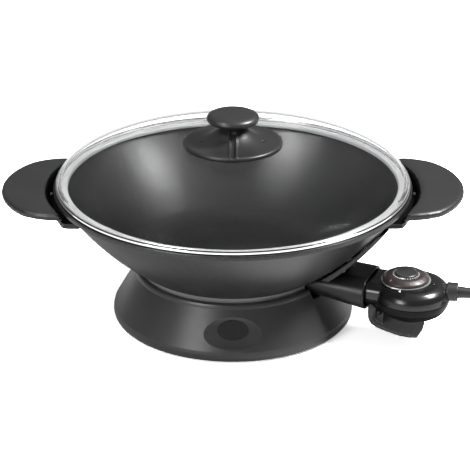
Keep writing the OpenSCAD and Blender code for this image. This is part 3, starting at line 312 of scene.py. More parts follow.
# moulded pieces: a copy of the solid, its edges softened as a mould leaves them
mouldInfo = {
    "handleLeft": {"node": "handle_left", "body": "pan", "voxel": 1.0, "rounds": 10},
    "handleRight": {"node": "handle_right", "body": "pan", "voxel": 1.0, "rounds": 10},
    "socketShroud": {"node": "socket_shroud", "body": "pan", "voxel": 0.8, "rounds": 5},
    "shroudSaddle": {"node": "shroud_saddle", "body": "pan", "voxel": 0.8, "rounds": 6},
    "knobFlare": {"node": "knob_flare", "body": "lid", "voxel": 0.7, "rounds": 5},
    "knobCap": {"node": "knob_cap", "body": "lid", "voxel": 0.7, "rounds": 8},
    "releaseLever": {"node": "ejector_lever", "body": "lever", "voxel": 0.7, "rounds": 4},
}


def copyOf(nodeName, pieceName):
    piece = nodes[nodeName].copy()
    piece.data = nodes[nodeName].data.copy()
    piece.name = pieceName
    piece.parent = None
    for key in list(piece.keys()):
        del piece[key]
    bpy.context.collection.objects.link(piece)
    selectMesh(piece)
    bpy.ops.mesh.remove_doubles(threshold=0.01 * mm)
    bpy.ops.object.mode_set(mode="OBJECT")
    return piece


# painted shade: the lever's side faces get the handles' dark material, darker than its pale top
def paintCheekShade(piece):
    piece.data.materials.append(materials["handle_left"])
    sideways = atControl(0, 1, 0).normalized()
    for face in piece.data.polygons:
        if abs(face.normal.dot(sideways)) > 0.7:
            face.material_index = len(piece.data.materials) - 1


def standFor(piece, nodeName, body):
    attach(piece, body)
    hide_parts(nodeName)


# the finger valley closes in on the rim towards the handle's ends; the valley faces inside the last radius
# and height band get painted shade
valleyInfo = {"rim": 180.3, "wallLow": 185.6, "wallTop": 192, "fade": 214, "gap": 0.15, "middle": 4.6,
              "ends": 4.4, "endTurn": 19, "low": 120, "blend": 6, "shadeRadius": 188.5, "dark": (126, 138.6)}


def tightenValley(piece):
    rim, wallLow, wallTop, fade = (valleyInfo[k] for k in ("rim", "wallLow", "wallTop", "fade"))
    for vertex in piece.data.vertices:
        place = vertex.co / mm
        radius = place.xy.length
        if not rim < radius < fade or place.z < valleyInfo["low"]:
            continue
        turn = math.degrees(math.atan2(abs(place.y), abs(place.x)))
        shift = valleyInfo["middle"] + valleyInfo["ends"] * min(1, (turn / valleyInfo["endTurn"]) ** 2)
        shift *= min(1, (place.z - valleyInfo["low"]) / valleyInfo["blend"])
        lowTo = max(rim + valleyInfo["gap"], wallLow - shift)
        if radius < wallLow:
            newRadius = rim + (radius - rim) * (lowTo - rim) / (wallLow - rim)
        elif radius < wallTop:
            newRadius = lowTo + (radius - wallLow) * (wallTop - shift - lowTo) / (wallTop - wallLow)
        else:
            newRadius = wallTop - shift + (radius - wallTop) * (fade - wallTop + shift) / (fade - wallTop)
        vertex.co.x *= newRadius / radius
        vertex.co.y *= newRadius / radius


# painted shade: the valley's inward faces next to the rim get a near-black, dull material in place of the
# shade there
def paintValleyShade(piece):
    piece.data.materials.append(materials["handleValley"])
    low, high = valleyInfo["dark"]
    for face in piece.data.polygons:
        radius = face.center.xy.length / mm
        outward = face.center.xy.normalized().dot(face.normal.xy)
        inValley = radius < valleyInfo["shadeRadius"] and low < face.center.z / mm < high
        if inValley and outward < 0.35 and face.normal.z > -0.2:
            face.material_index = len(piece.data.materials) - 1


for pieceName, mould in mouldInfo.items():
    piece = copyOf(mould["node"], pieceName)
    applyModifier(piece, "REMESH", mode="VOXEL", voxel_size=mould["voxel"] * mm)
    if pieceName.startswith("handle"):
        tightenValley(piece)
    applyModifier(piece, "SMOOTH", factor=0.5, iterations=mould["rounds"])
    bpy.ops.object.shade_smooth()
    dress(piece, materials[shared.get(mould["node"], mould["node"])])
    if pieceName.startswith("handle"):
        paintValleyShade(piece)
    if pieceName == "releaseLever":
        paintCheekShade(piece)
    standFor(piece, mould["node"], mould["body"])
    print(pieceName, len(piece.data.polygons), "faces")


# turned pieces: a ring drawn out point by point along its profile, in millimetres
def makeTurned(name, profile, sides, ends="join"):
    deselectAll()
    radius, height = profile[0]
    bpy.ops.mesh.primitive_circle_add(vertices=sides, radius=radius * mm, location=(0, 0, height * mm),
                                      fill_type="TRIFAN" if ends == "poles" else "NOTHING")
    piece = bpy.context.object
    piece.name = name
    fixPlace()
    bpy.ops.object.mode_set(mode="EDIT")
    bpy.ops.mesh.select_all(action="DESELECT")
    bpy.ops.object.mode_set(mode="OBJECT")
    for vertex in piece.data.vertices:
        vertex.select = vertex.co.xy.length > radius * mm * 0.5
    bpy.ops.object.mode_set(mode="EDIT")
    bpy.ops.mesh.select_mode(type="VERT")
    if ends == "poles":
        bpy.ops.mesh.select_mode(type="EDGE")
        bpy.ops.mesh.select_all(action="SELECT")
        bpy.ops.mesh.region_to_loop()
    for newRadius, newHeight in profile[1:] + ([profile[0]] if ends == "join" else []):
        bpy.ops.mesh.extrude_edges_move(TRANSFORM_OT_translate={"value": (0, 0, (newHeight - height) * mm)})
        share = newRadius / radius
        bpy.ops.transform.resize(value=(share, share, 1), center_override=(0, 0, 0))
        radius, height = newRadius, newHeight
    if ends == "poles":
        bpy.ops.mesh.extrude_edges_move(TRANSFORM_OT_translate={"value": (0, 0, 0)})
        bpy.ops.mesh.merge(type="CENTER")
    bpy.ops.mesh.select_mode(type="VERT")
    bpy.ops.mesh.select_all(action="SELECT")
    bpy.ops.mesh.remove_doubles(threshold=0.002 * mm)
    bpy.ops.mesh.normals_make_consistent(inside=False)
    bpy.ops.object.mode_set(mode="OBJECT")
    return piece


def joinTo(piece, others):
    deselectAll()
    for other in others:
        other.select_set(True)
    piece.select_set(True)
    bpy.context.view_layer.objects.active = piece
    bpy.ops.object.join()


def addRod(radius, depth, sides, place, rotation=(0, 0, 0)):
    deselectAll()
    bpy.ops.mesh.primitive_cylinder_add(vertices=sides, radius=radius * mm, depth=depth * mm, location=place,
                                        rotation=rotation)
    fixPlace()
    return bpy.context.object


def addBlock(name, low, high, round=0.0):
    deselectAll()
    middle = [(a + b) / 2 * mm for a, b in zip(low, high)]
    bpy.ops.mesh.primitive_cube_add(size=1, location=middle)
    block = bpy.context.object
    block.name = name
    block.scale = [(b - a) * mm for a, b in zip(low, high)]
    fixPlace()
    if round:
        selectMesh(block)
        bpy.ops.mesh.bevel(offset=round * mm, segments=5)
        bpy.ops.object.mode_set(mode="OBJECT")
    return block


def toControl(piece, u=0, v=0, z=0):
    makeActive(piece)
    piece.location = atControl(u, v, z)
    piece.rotation_euler = (0, 0, -controlAngle)
    fixPlace()


def arc(middle, radius, start, end, count):
    angles = [math.radians(start + (end - start) * i / count) for i in range(count + 1)]
    return [(middle[0] + radius * math.cos(a), middle[1] + radius * math.sin(a)) for a in angles]


# the bowl: painted outside, non-stick inside, a machined foot ring whose pale grey is partly painted light
bowlInfo = {"belly": 58, "ringFoot": 50.2, "ring": 95, "rim": 179.9, "rimZ": 142.6, "band": 5.2,
            "neck": 174.4, "curve": 300, "wall": 4, "floor": 63, "flat": 66, "steps": 26, "sides": 220,
            "crease": 32}
# on the bowl: lugs for the handles, bosses for the shroud, the heater's channel, the ring's opening
bowlExtras = {"lugIn": 164, "lugOut": 189.5, "lugHalf": 13, "lug": (120, 124.4), "lugRound": 0.5,
              "boss": (124, 17, 75.5), "bossRadius": 4.5, "bossTall": 8, "bossSides": 40, "socketHalf": 31.3,
              "heaterRadius": 62, "heaterHalf": 7, "heaterFoot": 53.5, "grooveRadius": 3.75, "grooveZ": 54,
              "grooveDip": 8, "heaterSides": 120}


def sideRadius(height, grow=0.0):
    start = Vector((bowlInfo["ring"] + 4, bowlInfo["belly"] + 2))
    end = Vector((bowlInfo["neck"], bowlInfo["rimZ"] - bowlInfo["band"] - 1))
    half = (end - start).length / 2
    way = (end - start).normalized()
    centre = (start + end) / 2 + Vector((-way.y, way.x)) * math.sqrt(bowlInfo["curve"] ** 2 - half ** 2)
    return centre.x + math.sqrt((bowlInfo["curve"] + grow) ** 2 - (centre.y - height) ** 2)


def makeBowl():
    ring, rim, rimZ, band = bowlInfo["ring"], bowlInfo["rim"], bowlInfo["rimZ"], bowlInfo["band"]
    belly, foot, floor, steps = bowlInfo["belly"], bowlInfo["ringFoot"], bowlInfo["floor"], bowlInfo["steps"]
    wall = -bowlInfo["wall"]
    profile = [(40, belly), (ring - 7, belly), (ring - 6.4, foot), (ring - 0.8, foot),
               (ring - 0.2, foot + 0.3), (ring, foot + 1), (ring, belly + 1.2), (ring + 0.4, belly + 1.8),
               (ring + 1, belly + 2)]
    lowZ, highZ = belly + 2, rimZ - band - 1
    profile += [(sideRadius(lowZ + (highZ - lowZ) * i / steps), lowZ + (highZ - lowZ) * i / steps)
                for i in range(steps + 1)]
    profile += [(rim - 1.2, rimZ - band), (rim - 0.2, rimZ - band + 0.5), (rim, rimZ - band + 1.4),
                (rim, rimZ - 1), (rim - 0.3, rimZ - 0.3), (rim - 0.9, rimZ),
                (sideRadius(rimZ, wall) + 0.9, rimZ), (sideRadius(rimZ, wall) + 0.25, rimZ - 0.25)]
    profile += [(sideRadius(z, wall), z) for z in
                [rimZ - 1 + (floor + 6 - rimZ + 1) * i / steps for i in range(steps + 1)]]
    edge = sideRadius(floor + 6, wall)
    profile += [(bowlInfo["flat"] + (edge - bowlInfo["flat"]) * t, floor + 6 * t * t)
                for t in [1 - i / 8 for i in range(1, 9)]]
    profile += [(44, floor), (22, floor)]
    bowl = makeTurned("wokBowl", profile, bowlInfo["sides"], ends="poles")
    half = bowlExtras["socketHalf"]
    opening = addBlock("ringOpening", (ring - 9, -half, foot - 1), (ring + 5, half, belly))
    toControl(opening)
    applyModifier(bowl, "BOOLEAN", operation="DIFFERENCE", object=opening, solver="EXACT")
    bpy.data.objects.remove(opening)
    heater, half, low = (bowlExtras[key] for key in ("heaterRadius", "heaterHalf", "heaterFoot"))
    groove = arc((heater, bowlExtras["grooveZ"]), bowlExtras["grooveRadius"], 180 + bowlExtras["grooveDip"],
                 -bowlExtras["grooveDip"], 10)
    channel = [(heater - half, belly + 0.6), (heater - half, low)] + groove
    channel += [(heater + half, low), (heater + half, belly + 0.6)]
    extras = [makeTurned("heaterCarrier", channel, bowlExtras["heaterSides"])]
    low, high = bowlExtras["lug"]
    half, inside, outside = (bowlExtras[key] for key in ("lugHalf", "lugIn", "lugOut"))
    for start, end in ((inside, outside), (-outside, -inside)):
        extras.append(addBlock("lug", (start, -half, low), (end, half, high), bowlExtras["lugRound"]))
    u, v, z = bowlExtras["boss"]
    tall = bowlExtras["bossTall"]
    for side in (-1, 1):
        extras.append(addRod(bowlExtras["bossRadius"], tall, bowlExtras["bossSides"],
                             atControl(u, side * v, z + tall / 2)))
    joinTo(bowl, extras)
    bowl.data.materials.clear()
    for name in ("wok_bowl", "bowlInside", "footRingMetalAndLight", "handleValley"):
        bowl.data.materials.append(materials[name])
    for face in bowl.data.polygons:
        place = face.center / mm
        radius = place.xy.length
        inward = -place.xy.normalized().dot(face.normal.xy)
        facesIn = (inward > 0.1 or face.normal.z > 0.9) and floor - 0.5 < place.z < rimZ - 0.2
        face.material_index = 0
        if facesIn and radius < sideRadius(min(place.z, rimZ), wall) + 0.6:
            face.material_index = 1
        # the foot ring's wall: pale metal, partly painted light
        elif abs(radius - ring) < 1.2 and place.z < belly + 1.6:
            face.material_index = 2
        # painted shade: the rim's flat top, in the gap under the lid, is black
        elif face.normal.z > 0.9 and place.z > rimZ - 0.5:
            face.material_index = 3
    makeActive(bowl)
    bpy.ops.object.shade_smooth_by_angle(angle=math.radians(bowlInfo["crease"]))
    standFor(bowl, "wok_bowl", "pan")


makeBowl()
print("bowl made")

# steel rim: a broad band, a groove painted black as shade, a bead under the glass, and a flange inside
rimInfo = {"foot": 142.95, "bandTop": 145.5, "beadAt": 146.9, "bead": 0.55, "outer": 178.0, "inner": 165.2,
           "sides": 240, "crease": 48}


def makeLidRim():
    foot, bandTop, bead = rimInfo["foot"], rimInfo["bandTop"], rimInfo["beadAt"]
    outer, inner = rimInfo["outer"], rimInfo["inner"]
    profile = arc((outer - 0.8, foot + 0.8), 0.8, -90, 0, 5)
    profile += arc((outer - 0.5, bandTop - 0.5), 0.5, 0, 90, 4)
    profile += [(outer - 1.3, bandTop), (outer - 1.5, bandTop + 0.2), (outer - 1.5, bead - 0.6)]
    profile += arc((outer - 1.3, bead), rimInfo["bead"], -70, 150, 8)
    profile += [(outer - 2.2, bandTop), (outer - 3, foot + 0.75), (inner + 1.6, foot + 0.75)]
    profile += arc((inner + 1.6, foot - 0.75), 1.5, 90, 180, 5) + [(inner, foot - 3), (inner + 0.7, foot - 3)]
    profile += arc((inner + 1.6, foot - 0.75), 0.8, 180, 90, 4) + [(inner + 1.7, foot)]
    rim = makeTurned("lidRim", profile, rimInfo["sides"])
    makeActive(rim)
    bpy.ops.object.shade_smooth_by_angle(angle=math.radians(rimInfo["crease"]))
    dress(rim, materials["lid_rim"])
    rim.data.materials.append(materials["rimGrooveShade"])
    rim.data.materials.append(materials["rimFlange"])
    for face in rim.data.polygons:
        height = face.center.z / mm
        radius = face.center.xy.length / mm
        # painted shade: the groove between band and bead is black
        if bandTop - 0.05 < height < bead - 0.4 and radius > outer - 1.9:
            face.material_index = 1
        elif height < bandTop and radius < outer - 2.2:
            face.material_index = 2
    standFor(rim, "lid_rim", "lid")


makeLidRim()
print("lid rim made")

# lid glass
glassInfo = {"outer": 175.7, "low": 143.9, "foot": 148.1, "rise": 35.6, "thick": 4.0, "hole": 4.5,
             "rings": 40, "sides": 160, "belly": 2.2, "full": 1.72, "crease": 40}


def domeHeight(radius):
    inside = max(0.0, 1 - (radius / glassInfo["outer"]) ** glassInfo["belly"])
    return glassInfo["foot"] + glassInfo["rise"] * inside ** (1 / glassInfo["full"])


def makeLidGlass():
    deselectAll()
    outer = glassInfo["outer"]
    bpy.ops.mesh.primitive_circle_add(vertices=glassInfo["sides"], radius=outer * mm, fill_type="NOTHING",
                                      location=(0, 0, glassInfo["low"] * mm))
    glass = bpy.context.object
    glass.name = "lidGlass"
    fixPlace()
    selectMesh(glass)
    lastRadius, lastHeight = outer, glassInfo["low"]
    last = math.acos(glassInfo["hole"] / outer)
    for i in range(glassInfo["rings"] + 1):
        radius = outer * math.cos(last * i / glassInfo["rings"])
        height = domeHeight(radius)
        bpy.ops.mesh.extrude_region_move(TRANSFORM_OT_translate={"value": (0, 0, (height - lastHeight) * mm)})
        share = radius / lastRadius
        bpy.ops.transform.resize(value=(share, share, 1), center_override=(0, 0, 0))
        lastRadius, lastHeight = radius, height
    bpy.ops.mesh.select_all(action="SELECT")
    bpy.ops.mesh.normals_make_consistent(inside=False)
    bpy.ops.object.mode_set(mode="OBJECT")
    if sum(f.normal.z for f in glass.data.polygons) < 0:
        glass.data.flip_normals()
    applyModifier(glass, "SOLIDIFY", thickness=glassInfo["thick"] * mm, offset=-1, use_even_offset=True)
    bpy.ops.object.shade_smooth_by_angle(angle=math.radians(glassInfo["crease"]))
    dress(glass, materials["lid_glass"])
    standFor(glass, "lid_glass", "lid")


makeLidGlass()
print("lid glass made")

# the control: a round body and a neck, moulded as one and parted into two covers
controlInfo = {"bodyU": 192, "sides": 96, "voxel": 0.8, "rounds": 14, "seam": 51, "seamGap": 0.3,
               "body": [(20.5, 32.6), (27, 34.2), (31.8, 37.4), (35, 42), (36.9, 48), (37.5, 51),
                        (37.5, 53.4), (36.7, 57.8), (34.6, 61.8), (31.3, 64.8), (27.8, 66.4), (24.6, 67),
                        (12, 67)],
               "neck": ((143, -25.4, 42.4), (188, 25.4, 65.6), 9.5),
               "nose": ((118, -23, 45.4), (150, 23, 64), 4),
               "chin": ((157, -23.5, 38.5), (184, 23.5, 52), 6), "ears": (162, 33, 13.5, 3.4), "earWide": 3,
               "earTop": 42, "earSides": 32, "recess": (180, 43), "underside": -0.35, "crease": 50}


def makeControl():
    body = makeTurned("controlTop", controlInfo["body"], controlInfo["sides"], ends="poles")
    toControl(body, controlInfo["bodyU"])
    blocks = [addBlock(name, *controlInfo[name]) for name in ("neck", "nose", "chin")]
    u, z, v, radius = controlInfo["ears"]
    wide = controlInfo["earWide"]
    for side in (-1, 1):
        low, high = sorted((side * (v - wide / 2), side * (v + wide / 2)))
        blocks.append(addBlock("ear", (u - radius, low, z), (u + radius, high, controlInfo["earTop"])))
        blocks.append(addRod(radius, wide, controlInfo["earSides"], (u * mm, side * v * mm, z * mm),
                             (math.pi / 2, 0, 0)))
    for block in blocks:
        toControl(block)
    joinTo(body, blocks)
    applyModifier(body, "REMESH", mode="VOXEL", voxel_size=controlInfo["voxel"] * mm)
    applyModifier(body, "SMOOTH", factor=0.5, iterations=controlInfo["rounds"])
    under = body.copy()
    under.data = body.data.copy()
    under.name = "controlUnder"
    bpy.context.collection.objects.link(under)
    for piece, nodeName, side in ((body, "probe_top_cover", 1), (under, "probe_bottom_cover", -1)):
        selectMesh(piece)
        height = (controlInfo["seam"] + side * controlInfo["seamGap"]) * mm
        bpy.ops.mesh.bisect(plane_co=(0, 0, height), plane_no=(0, 0, side), use_fill=True, clear_inner=True)
        bpy.ops.object.mode_set(mode="OBJECT")
        bpy.ops.object.shade_smooth_by_angle(angle=math.radians(controlInfo["crease"]))
        dress(piece, materials["probe_cover" if side > 0 else "coverUnderShade"])
        # painted shade: the recess under the neck and the lower cover's downward faces are black
        piece.data.materials.append(materials["handleValley"])
        for face in piece.data.polygons:
            u = face.center.x / mm * math.cos(controlAngle) - face.center.y / mm * math.sin(controlAngle)
            inRecess = u < controlInfo["recess"][0] and face.center.z / mm < controlInfo["recess"][1]
            if inRecess or (side < 0 and face.normal.z < controlInfo["underside"]):
                face.material_index = 1
        standFor(piece, nodeName, "control")


makeControl()
print("control made")

# the dial: a smoky ring round a raised cap, its scale, and the mark on the cover
dialInfo = {"u": 184.7, "low": 67.85, "cap": 11.4, "outer": 23.2, "top": 73.4, "capTop": 75.2,
            "flat": 17.9, "edge": 18.6, "edgeDrop": 0.25, "foot": 2.9, "footIn": 0.7, "gap": 0.05,
            "sides": 96, "crease": 40}
tickInfo = {"count": 30, "ring": 12.7, "long": 1.7, "wide": 0.6, "first": 2.8, "thick": 0.1, "lift": 0.03,
            "bare": (11, 12), "start": -90}
numberInfo = {"count": 9, "ring": 20.9, "size": 3.6, "thick": 0.04, "lift": 0.06, "start": -60, "turn": 300}
markInfo = {"place": (186.9, 26.9, 66.35), "radius": 1.9, "topRadius": 1.8, "thick": 0.3,
            "shares": (0.75, 1.2, 1), "lean": 16}


def addTick(i):
    turn = math.radians(tickInfo["start"] + 360 * i / tickInfo["count"])
    size = (tickInfo["long"], tickInfo["wide"] if i else tickInfo["first"], tickInfo["thick"])
    block = addBlock("tick", [-v / 2 for v in size], [v / 2 for v in size])
    block.rotation_euler = (0, 0, turn)
    block.location = (tickInfo["ring"] * math.cos(turn) * mm, tickInfo["ring"] * math.sin(turn) * mm,
                      (dialInfo["top"] + tickInfo["lift"]) * mm)
    makeActive(block)
    fixPlace()
    return block


# a number lies on the ring's slope, its foot towards the edge
def addNumber(i):
    run = dialInfo["outer"] - dialInfo["footIn"] - dialInfo["edge"]
    slope = math.atan2(dialInfo["top"] - dialInfo["edgeDrop"] - dialInfo["low"] - dialInfo["foot"], run)
    climb = (run + dialInfo["edge"] - numberInfo["ring"]) * math.tan(slope)
    turn = math.radians(numberInfo["start"] + numberInfo["turn"] * i / (numberInfo["count"] - 1))
    deselectAll()
    bpy.ops.object.text_add()
    number = bpy.context.object
    number.data.body = str(i + 1)
    number.data.size = numberInfo["size"] * mm
    number.data.extrude = numberInfo["thick"] * mm
    number.data.align_x = "CENTER"
    number.data.align_y = "CENTER"
    bpy.ops.object.convert(target="MESH")
    number = bpy.context.object
    number.rotation_euler = (slope, 0, 0)
    fixPlace()
    number.rotation_euler = (0, 0, turn + math.pi / 2)
    number.location = (numberInfo["ring"] * math.cos(turn) * mm, numberInfo["ring"] * math.sin(turn) * mm,
                       (dialInfo["low"] + dialInfo["foot"] + climb + numberInfo["lift"]) * mm)
    fixPlace()
    return number


def addMark():
    deselectAll()
    bpy.ops.mesh.primitive_cone_add(vertices=3, radius1=markInfo["radius"] * mm,
                                    radius2=markInfo["topRadius"] * mm, depth=markInfo["thick"] * mm)
    mark = bpy.context.object
    mark.name = "dialMark"
    mark.rotation_euler = (0, 0, math.radians(90))
    fixPlace()
    mark.scale = markInfo["shares"]
    fixPlace()
    mark.rotation_euler = (math.radians(markInfo["lean"]), 0, controlAngle)
    fixPlace()
    toControl(mark, *markInfo["place"])
    dress(mark, materials["printWhite"])
    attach(mark, "control")


def makeDial():
    low, top, cap, outer = dialInfo["low"], dialInfo["top"], dialInfo["cap"], dialInfo["outer"]
    capTop, gap = dialInfo["capTop"], dialInfo["gap"]
    capProfile = [(9, low), (outer - 1, low), (outer, low + 0.4), (outer, low + 1.4), (cap, low + 1.5),
                  (cap, capTop - 1.2), (cap - 0.4, capTop - 0.4), (cap - 1.2, capTop),
                  (cap - 2.4, capTop - 0.3), (5, capTop - 0.6)]
    ringProfile = [(cap + gap, low + 1.55), (outer, low + 1.55), (outer - 0.1, low + 2.1),
                   (outer - dialInfo["footIn"], low + dialInfo["foot"]),
                   (dialInfo["edge"], top - dialInfo["edgeDrop"]), (dialInfo["flat"], top), (cap + gap, top)]
    hub = makeTurned("dialCap", capProfile, dialInfo["sides"], ends="poles")
    ring = makeTurned("dialRing", ringProfile, dialInfo["sides"])
    printed = [addTick(i) for i in range(tickInfo["count"]) if i not in tickInfo["bare"]]
    dim = [addNumber(i) for i in range(numberInfo["count"])]
    joinTo(printed[0], printed[1:])
    joinTo(dim[0], dim[1:])
    for piece, name, look, nodeName in ((printed[0], "dialTicks", "printWhite", None),
                                        (dim[0], "dialNumbers", "printDim", None),
                                        (hub, "dialCap", "dial_knob", "dial_knob"),
                                        (ring, "dialRing", "dial_scale_ring", "dial_scale_ring")):
        piece.name = name
        toControl(piece, dialInfo["u"])
        piece.data.materials.clear()
        piece.data.materials.append(materials[look])
        bpy.ops.object.shade_smooth_by_angle(angle=math.radians(dialInfo["crease"]))
        if nodeName:
            standFor(piece, nodeName, "dial")
        else:
            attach(piece, "dial")
    addMark()


makeDial()
print("dial made")

# mains lead
cordInfo = {"diameter": 9.4 * mm, "turnGap": 0.7, "coilRadius": 52.0, "coilTurns": 3, "extraTurn": 45 / 360,
            "coilMiddle": (346.0, -38.0), "startAngle": -90.0, "lift": 1.4, "coilSteps": 150, "spacing": 2.4,
            "exitTurn": 12, "outletZ": 58.2, "outlet": (33.5, 0.3, 11, 14.4), "bevel": 5, "crease": 50}
leadKnots = [(259, -85.5, 56), (274, -88.5, 49), (285, -91.5, 37.5), (296, -94.5, 26), (311, -97, 18.5)]


# the coil: in on the upper layer, out on the lower
def coilRoute():
    diameter = cordInfo["diameter"] / mm
    pitch = diameter + cordInfo["turnGap"]
    lowZ = diameter / 2 + cordInfo["lift"]
    topZ = lowZ + pitch
    half = cordInfo["coilTurns"] / 2 + cordInfo["extraTurn"]
    outer = cordInfo["coilRadius"] + pitch * half / 2
    middle = cordInfo["coilMiddle"]
    count = cordInfo["coilSteps"]
    points = []
    for i in range(count + 1):
        turn = 2 * half * i / count
        angle = math.radians(cordInfo["startAngle"] + 360 * turn)
        radius = outer - pitch * (half - abs(turn - half))
        fall = min(1, max(0, (turn - half) * 2 + 0.5))
        points.append(Vector((middle[0] + radius * math.cos(angle), middle[1] + radius * math.sin(angle),
                              topZ + (lowZ - topZ) * fall)))
    return points


def curvePoint(p0, p1, p2, p3, t):
    return 0.5 * ((2 * p1) + (p2 - p0) * t + (2 * p0 - 5 * p1 + 4 * p2 - p3) * t * t
                  + (3 * p1 - p0 - 3 * p2 + p3) * t * t * t)


def smoothRoute(knots, steps):
    route = []
    for i in range(1, len(knots) - 2):
        for j in range(steps):
            route.append(curvePoint(knots[i - 1], knots[i], knots[i + 1], knots[i + 2], j / steps))
    return route


def cordRoute():
    diameter = cordInfo["diameter"] / mm
    exitTurn = controlAngle - math.radians(cordInfo["exitTurn"])
    exitWay = Vector((math.cos(exitTurn), -math.sin(exitTurn), 0))
    body = atControl(controlInfo["bodyU"], 0, cordInfo["outletZ"]) / mm
    leave = body + exitWay * sum(cordInfo["outlet"])
    coil = coilRoute()
    startWay = Vector((1, 0.02, 0)).normalized()
    coilIn = coil[0] - startWay * diameter
    coilOut = coil[-1] + Vector((0, diameter, 0))
    knots = [leave, leave + exitWay * diameter] + [Vector(k) for k in leadKnots]
    knots += [coilIn - startWay * diameter, coilIn, coil[2]]
    first = [leave] + smoothRoute(knots, 6)
    plugAt = coilOut + Vector((3, 56, 19 - coilOut.z))
    tail = [coil[-3], coilOut, coilOut + Vector((1, 20, 2)), coilOut + Vector((2.6, 36, 9.4)),
            plugAt - Vector((0, diameter, 0)), plugAt]
    last = smoothRoute(tail, 6) + [plugAt - Vector((0, diameter, 0)), plugAt]
    return [p * mm for p in first + coil[:-2] + last], leave * mm


def makeCord():
    route, leave = cordRoute()
    thin = [route[0]]
    for point in route[1:]:
        if (point - thin[-1]).length > cordInfo["spacing"] * mm:
            thin.append(point)
    thin[-1] = route[-1]
    data = bpy.data.curves.new("mainsLead", "CURVE")
    data.dimensions = "3D"
    spline = data.splines.new("POLY")
    spline.points.add(len(thin) - 1)
    for entry, point in zip(spline.points, thin):
        entry.co = (*point, 1)
    data.bevel_depth = cordInfo["diameter"] / 2
    data.bevel_resolution = cordInfo["bevel"]
    data.use_fill_caps = True
    lead = bpy.data.objects.new("mainsLead", data)
    bpy.context.collection.objects.link(lead)
    makeActive(lead)
    bpy.ops.object.convert(target="MESH")
    lead = bpy.context.object
    bpy.ops.object.shade_smooth_by_angle(angle=math.radians(cordInfo["crease"]))
    lead.data.materials.clear()
    lead.data.materials.append(materials["cord"])
    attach(lead, "control")
    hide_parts("cord_lead", "cord_coil", "cord_tail")


materials["cord"] = makeSurface("mainsLead", dict(rubberLook, base=(0.024, 0.024, 0.024), rough=0.45))
makeCord()


# light and floor; lamps are square, in metres and watts
lampInfo = {
    "keyRight": {"place": (0.95, -0.06, 1.22), "target": (0, 0, 0.1), "size": 0.36, "power": 58},
    "fillLeft": {"place": (-0.75, -0.50, 1.25), "target": (0, 0, 0.1), "size": 0.4, "power": 8.5},
    "frontLeft": {"place": (-1.0, -1.35, 0.62), "target": (0, 0, 0.08), "size": 0.6, "power": 17},
}


def makeLamps():
    for name, info in lampInfo.items():
        way = Vector(info["target"]) - Vector(info["place"])
        bpy.ops.object.light_add(type="AREA", location=info["place"],
                                 rotation=way.to_track_quat("-Z", "Y").to_euler())
        lamp = bpy.context.object
        lamp.name = name
        lamp.data.shape = "RECTANGLE"
        lamp.data.size = info["size"]
        lamp.data.size_y = info["size"]
        lamp.data.energy = info["power"]


# the studio: dim near the horizon, brighter overhead; white where the camera looks past the wok
studioInfo = {"low": 0.13, "high": 0.5, "lowAt": 0.25, "highAt": 0.95, "skyGloss": 0.08, "floorGloss": 0.20,
              "floorGlow": 0.45, "floorColours": ((0.93,) * 3, (0.95,) * 3), "floorDim": 0.34, "floorSize": 6}


def mathNode(tree, operation, first, second):
    node = tree.nodes.new("ShaderNodeMath")
    node.operation = operation
    node.use_clamp = True
    for socket, value in zip(node.inputs, (first, second)):
        if isinstance(value, (int, float)):
            socket.default_value = value
        else:
            tree.links.new(value, socket)
    return node.outputs[0]


# white for the camera, also through the glass, and a share of it for what shines
def seenShare(tree, glossShare):
    ray = tree.nodes.new("ShaderNodeLightPath").outputs
    shone = mathNode(tree, "ADD", ray["Glossy Depth"], 0)
    bounced = mathNode(tree, "ADD", ray["Glossy Depth"], ray["Diffuse Depth"])
    through = mathNode(tree, "SUBTRACT", ray["Is Transmission Ray"], bounced)
    seen = mathNode(tree, "MAXIMUM", ray["Is Camera Ray"], through)
    return mathNode(tree, "MAXIMUM", seen, mathNode(tree, "MULTIPLY", shone, glossShare))


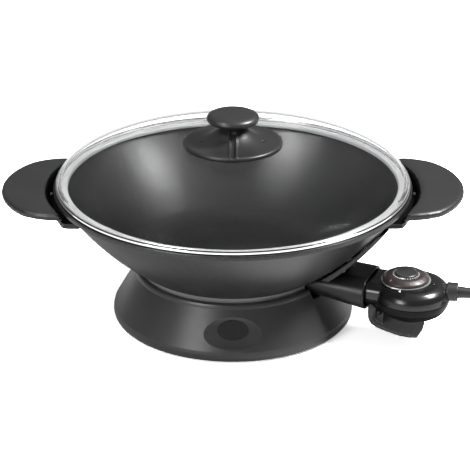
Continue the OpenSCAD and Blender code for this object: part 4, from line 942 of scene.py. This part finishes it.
def makeWorld():
    world = bpy.data.worlds.new("studio")
    bpy.context.scene.world = world
    world.use_nodes = True
    tree = world.node_tree
    background = next(n for n in tree.nodes if n.type == "BACKGROUND")
    coords = tree.nodes.new("ShaderNodeTexCoord")
    split = tree.nodes.new("ShaderNodeSeparateXYZ")
    tree.links.new(coords.outputs["Generated"], split.inputs[0])
    climb = tree.nodes.new("ShaderNodeMapRange")
    climb.interpolation_type = "SMOOTHSTEP"
    climb.inputs["From Min"].default_value = studioInfo["lowAt"]
    climb.inputs["From Max"].default_value = studioInfo["highAt"]
    climb.inputs["To Min"].default_value = studioInfo["low"]
    climb.inputs["To Max"].default_value = studioInfo["high"]
    tree.links.new(split.outputs["Z"], climb.inputs["Value"])
    tree.links.new(climb.outputs["Result"], background.inputs["Strength"])
    background.inputs["Color"].default_value = (1, 1, 1, 1)
    white = tree.nodes.new("ShaderNodeBackground")
    white.inputs["Strength"].default_value = 1.0
    white.inputs["Color"].default_value = (1, 1, 1, 1)
    mix = tree.nodes.new("ShaderNodeMixShader")
    tree.links.new(seenShare(tree, studioInfo["skyGloss"]), mix.inputs["Fac"])
    tree.links.new(background.outputs[0], mix.inputs[1])
    tree.links.new(white.outputs[0], mix.inputs[2])
    output = next(n for n in tree.nodes if n.type == "OUTPUT_WORLD")
    tree.links.new(mix.outputs[0], output.inputs["Surface"])


def makeFloor():
    bpy.ops.mesh.primitive_plane_add(size=studioInfo["floorSize"], location=(0, 0, 0))
    floor = bpy.context.object
    floor.name = "floor"
    material, tree, shader = startMaterial("floor")
    pale, paler = studioInfo["floorColours"]
    cloud = noiseNode(tree, objectPlace(tree, 2), 2.0)
    tree.links.new(rampNode(tree, cloud, [(0.3, pale), (0.7, paler)]), inputOf(shader, "Base Color"))
    inputOf(shader, "Roughness").default_value = 0.9
    inputOf(shader, "Specular IOR Level").default_value = 0.0
    glow = tree.nodes.new("ShaderNodeEmission")
    glow.inputs["Strength"].default_value = studioInfo["floorGlow"]
    twice = tree.nodes.new("ShaderNodeAddShader")
    tree.links.new(shader.outputs[0], twice.inputs[0])
    tree.links.new(shader.outputs[0], twice.inputs[1])
    add = tree.nodes.new("ShaderNodeAddShader")
    tree.links.new(twice.outputs[0], add.inputs[0])
    tree.links.new(glow.outputs[0], add.inputs[1])
    dim = tree.nodes.new("ShaderNodeBsdfDiffuse")
    grey = studioInfo["floorDim"]
    dim.inputs["Color"].default_value = (grey, grey, grey, 1)
    mix = tree.nodes.new("ShaderNodeMixShader")
    tree.links.new(seenShare(tree, studioInfo["floorGloss"]), mix.inputs["Fac"])
    tree.links.new(dim.outputs[0], mix.inputs[1])
    tree.links.new(add.outputs[0], mix.inputs[2])
    output = next(n for n in tree.nodes if n.type == "OUTPUT_MATERIAL")
    tree.links.new(mix.outputs[0], output.inputs["Surface"])
    floor.data.materials.append(material)


makeLamps()
makeWorld()
makeFloor()
bpy.context.scene.view_settings.view_transform = "Standard"
print("light and floor made")
